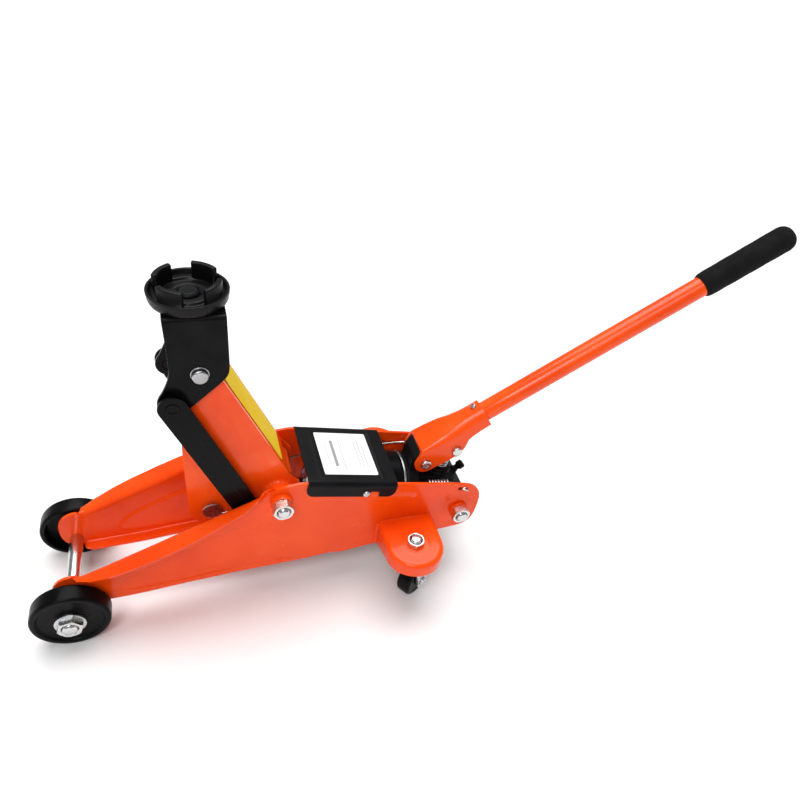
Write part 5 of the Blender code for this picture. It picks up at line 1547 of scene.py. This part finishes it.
hm = Matrix.Translation(W(hp(0, HANDLE_B)[0], 0, hp(0, HANDLE_B)[1])) @ hz.to_track_quat('Z', 'Y').to_matrix().to_4x4()
tube = turned("handle_tube_body", soften_loop([(7.8, 383.0), (TUBE_R, 383.0), (TUBE_R, 300.0), (TUBE_R, 200.0), (TUBE_R, 120.0), (TUBE_R, 50.0), (7.8, 50.0)], 0.4, 2), hm, ORANGE_TUBE, 72, closed=True)
tube = cut(tube, rod("cutter", W(hp(66.0, 8.0)[0], 0, hp(66.0, 8.0)[1]), W(hp(66, 24)[0], 0, hp(66, 24)[1]), 2.7, None, 32))
smooth(tube.data, 40)
show(tube, "handle", ["handle_tube"], ORANGE_TUBE)
gp = [(0, HANDLE_LEN), (2.6, HANDLE_LEN - 0.1), (5.6, HANDLE_LEN - 0.6), (8.2, HANDLE_LEN - 1.8), (10.2, HANDLE_LEN - 3.8), (11.4, HANDLE_LEN - 6.2), (GRIP_R, HANDLE_LEN - 9.5)]
a = HANDLE_LEN - 14.0
while a > 306.0:
    gp.append((GRIP_R - 0.25 * (HANDLE_LEN - a) / 86 + 0.10 * math.sin(a * 0.31), a))
    a -= 4.0
gp += [(GRIP_R - 0.5, 304.0), (GRIP_R - 0.9, 302.0), (GRIP_R - 1.6, 300.8), (TUBE_R + 0.9, 300.4), (TUBE_R + 0.05, 300.5), (TUBE_R + 0.05, HANDLE_LEN - 8.5), (0, HANDLE_LEN - 8.5)]
grip = turned("handle_grip_foam", gp, hm, FOAM, 80, angle=60)
show(grip, "handle", ["handle_grip"])
hb0, hb1 = hp(66.0, 7.0), hp(66.0, 19.4)
axis_b = Vector((kx_.x, 0, kx_.y))
bm_ = Matrix.Translation(W(hb0[0], 0, hb0[1])) @ axis_b.to_track_quat('Z', 'Y').to_matrix().to_4x4()
hbolt = turned("handle_bolt_body", soften([(0, 12.4), (1.9, 12.4), (2.6, 11.7), (2.6, 0.4), (2.2, 0), (0, 0)], 0.3, 2), bm_, STEEL, 36)
show(hbolt, "handle", ["handle_bolt"])

# ---------------------------------------------------------- floor, camera, lights
def grid_floor():
    me = bpy.data.meshes.new("studio_floor")
    h = 6.0
    me.from_pydata([(-h, -h, 0), (h, -h, 0), (h, h, 0), (-h, h, 0)], [], [(0, 1, 2, 3)])
    t = Tree("studio_floor_white")
    t.set(color=(0.90, 0.90, 0.90), rough=0.85, metal=0.0, spec=0.0)
    fl = obj("studio_floor", me, t.mat)
    fl.location.z = -0.0002
    return fl


grid_floor()
cam_data = bpy.data.cameras.new("photo_camera")
cam = bpy.data.objects.new("photo_camera", cam_data)
SCENE.collection.objects.link(cam)
cam_data.sensor_width = 36.0
cam_data.sensor_fit = 'HORIZONTAL'
cam_data.lens = 669.22 * 36.0 / 800.0
right = Vector((0.9497, -0.2908, 0.1165)).normalized()
down = Vector((-0.0982, -0.6295, -0.7708)).normalized()
fwd = Vector((0.2975, 0.7205, -0.6264)).normalized()
down = (down - right * down.dot(right)).normalized()
fwd = right.cross(down)
mat = Matrix((right, -down, -fwd)).transposed().to_4x4()
cam.matrix_world = Matrix.Translation(W(114.54, -427.03, 563.16)) @ mat
SCENE.camera = cam

world = bpy.data.worlds.new("studio_world")
world.use_nodes = True
world.node_tree.nodes["Background"].inputs["Color"].default_value = (1.0, 1.0, 1.0, 1.0)
world.node_tree.nodes["Background"].inputs["Strength"].default_value = 0.26
SCENE.world = world
SCENE.view_settings.view_transform = 'Standard'


def softbox(name, loc, target, size, power, size_y=None):
    li = bpy.data.lights.new(name, 'AREA')
    li.shape = 'RECTANGLE'
    li.size = size
    li.size_y = size_y or size
    li.energy = power
    li.color = (1.0, 1.0, 1.0)
    ob = bpy.data.objects.new(name, li)
    SCENE.collection.objects.link(ob)
    ob.location = Vector(loc)
    d = Vector(target) - Vector(loc)
    ob.rotation_euler = d.to_track_quat('-Z', 'Y').to_euler()
    return ob


def sky_lamp(name, elev, azim, strength, wide):
    """Soft light of one strength everywhere, so the floor stays even."""
    li = bpy.data.lights.new(name, 'SUN')
    li.energy = strength
    li.angle = math.radians(wide)
    li.color = (1.0, 1.0, 1.0)
    ob = bpy.data.objects.new(name, li)
    SCENE.collection.objects.link(ob)
    e, a_ = math.radians(elev), math.radians(azim)
    d = -Vector((math.cos(e) * math.cos(a_), math.cos(e) * math.sin(a_), math.sin(e)))
    ob.rotation_euler = d.to_track_quat('-Z', 'Y').to_euler()
    return ob


sky_lamp("overhead_lamp", 70.0, 85.0, 2.75, 55.0)
sky_lamp("front_lamp", 48.0, -115.0, 0.75, 30.0)
softbox("key_softbox", (-0.55, -0.75, 1.25), (0.0, 0.0, 0.1), 0.45, 4.0)
softbox("top_softbox", (0.15, 0.35, 1.6), (0.0, 0.0, 0.05), 1.0, 3.0, 0.6)
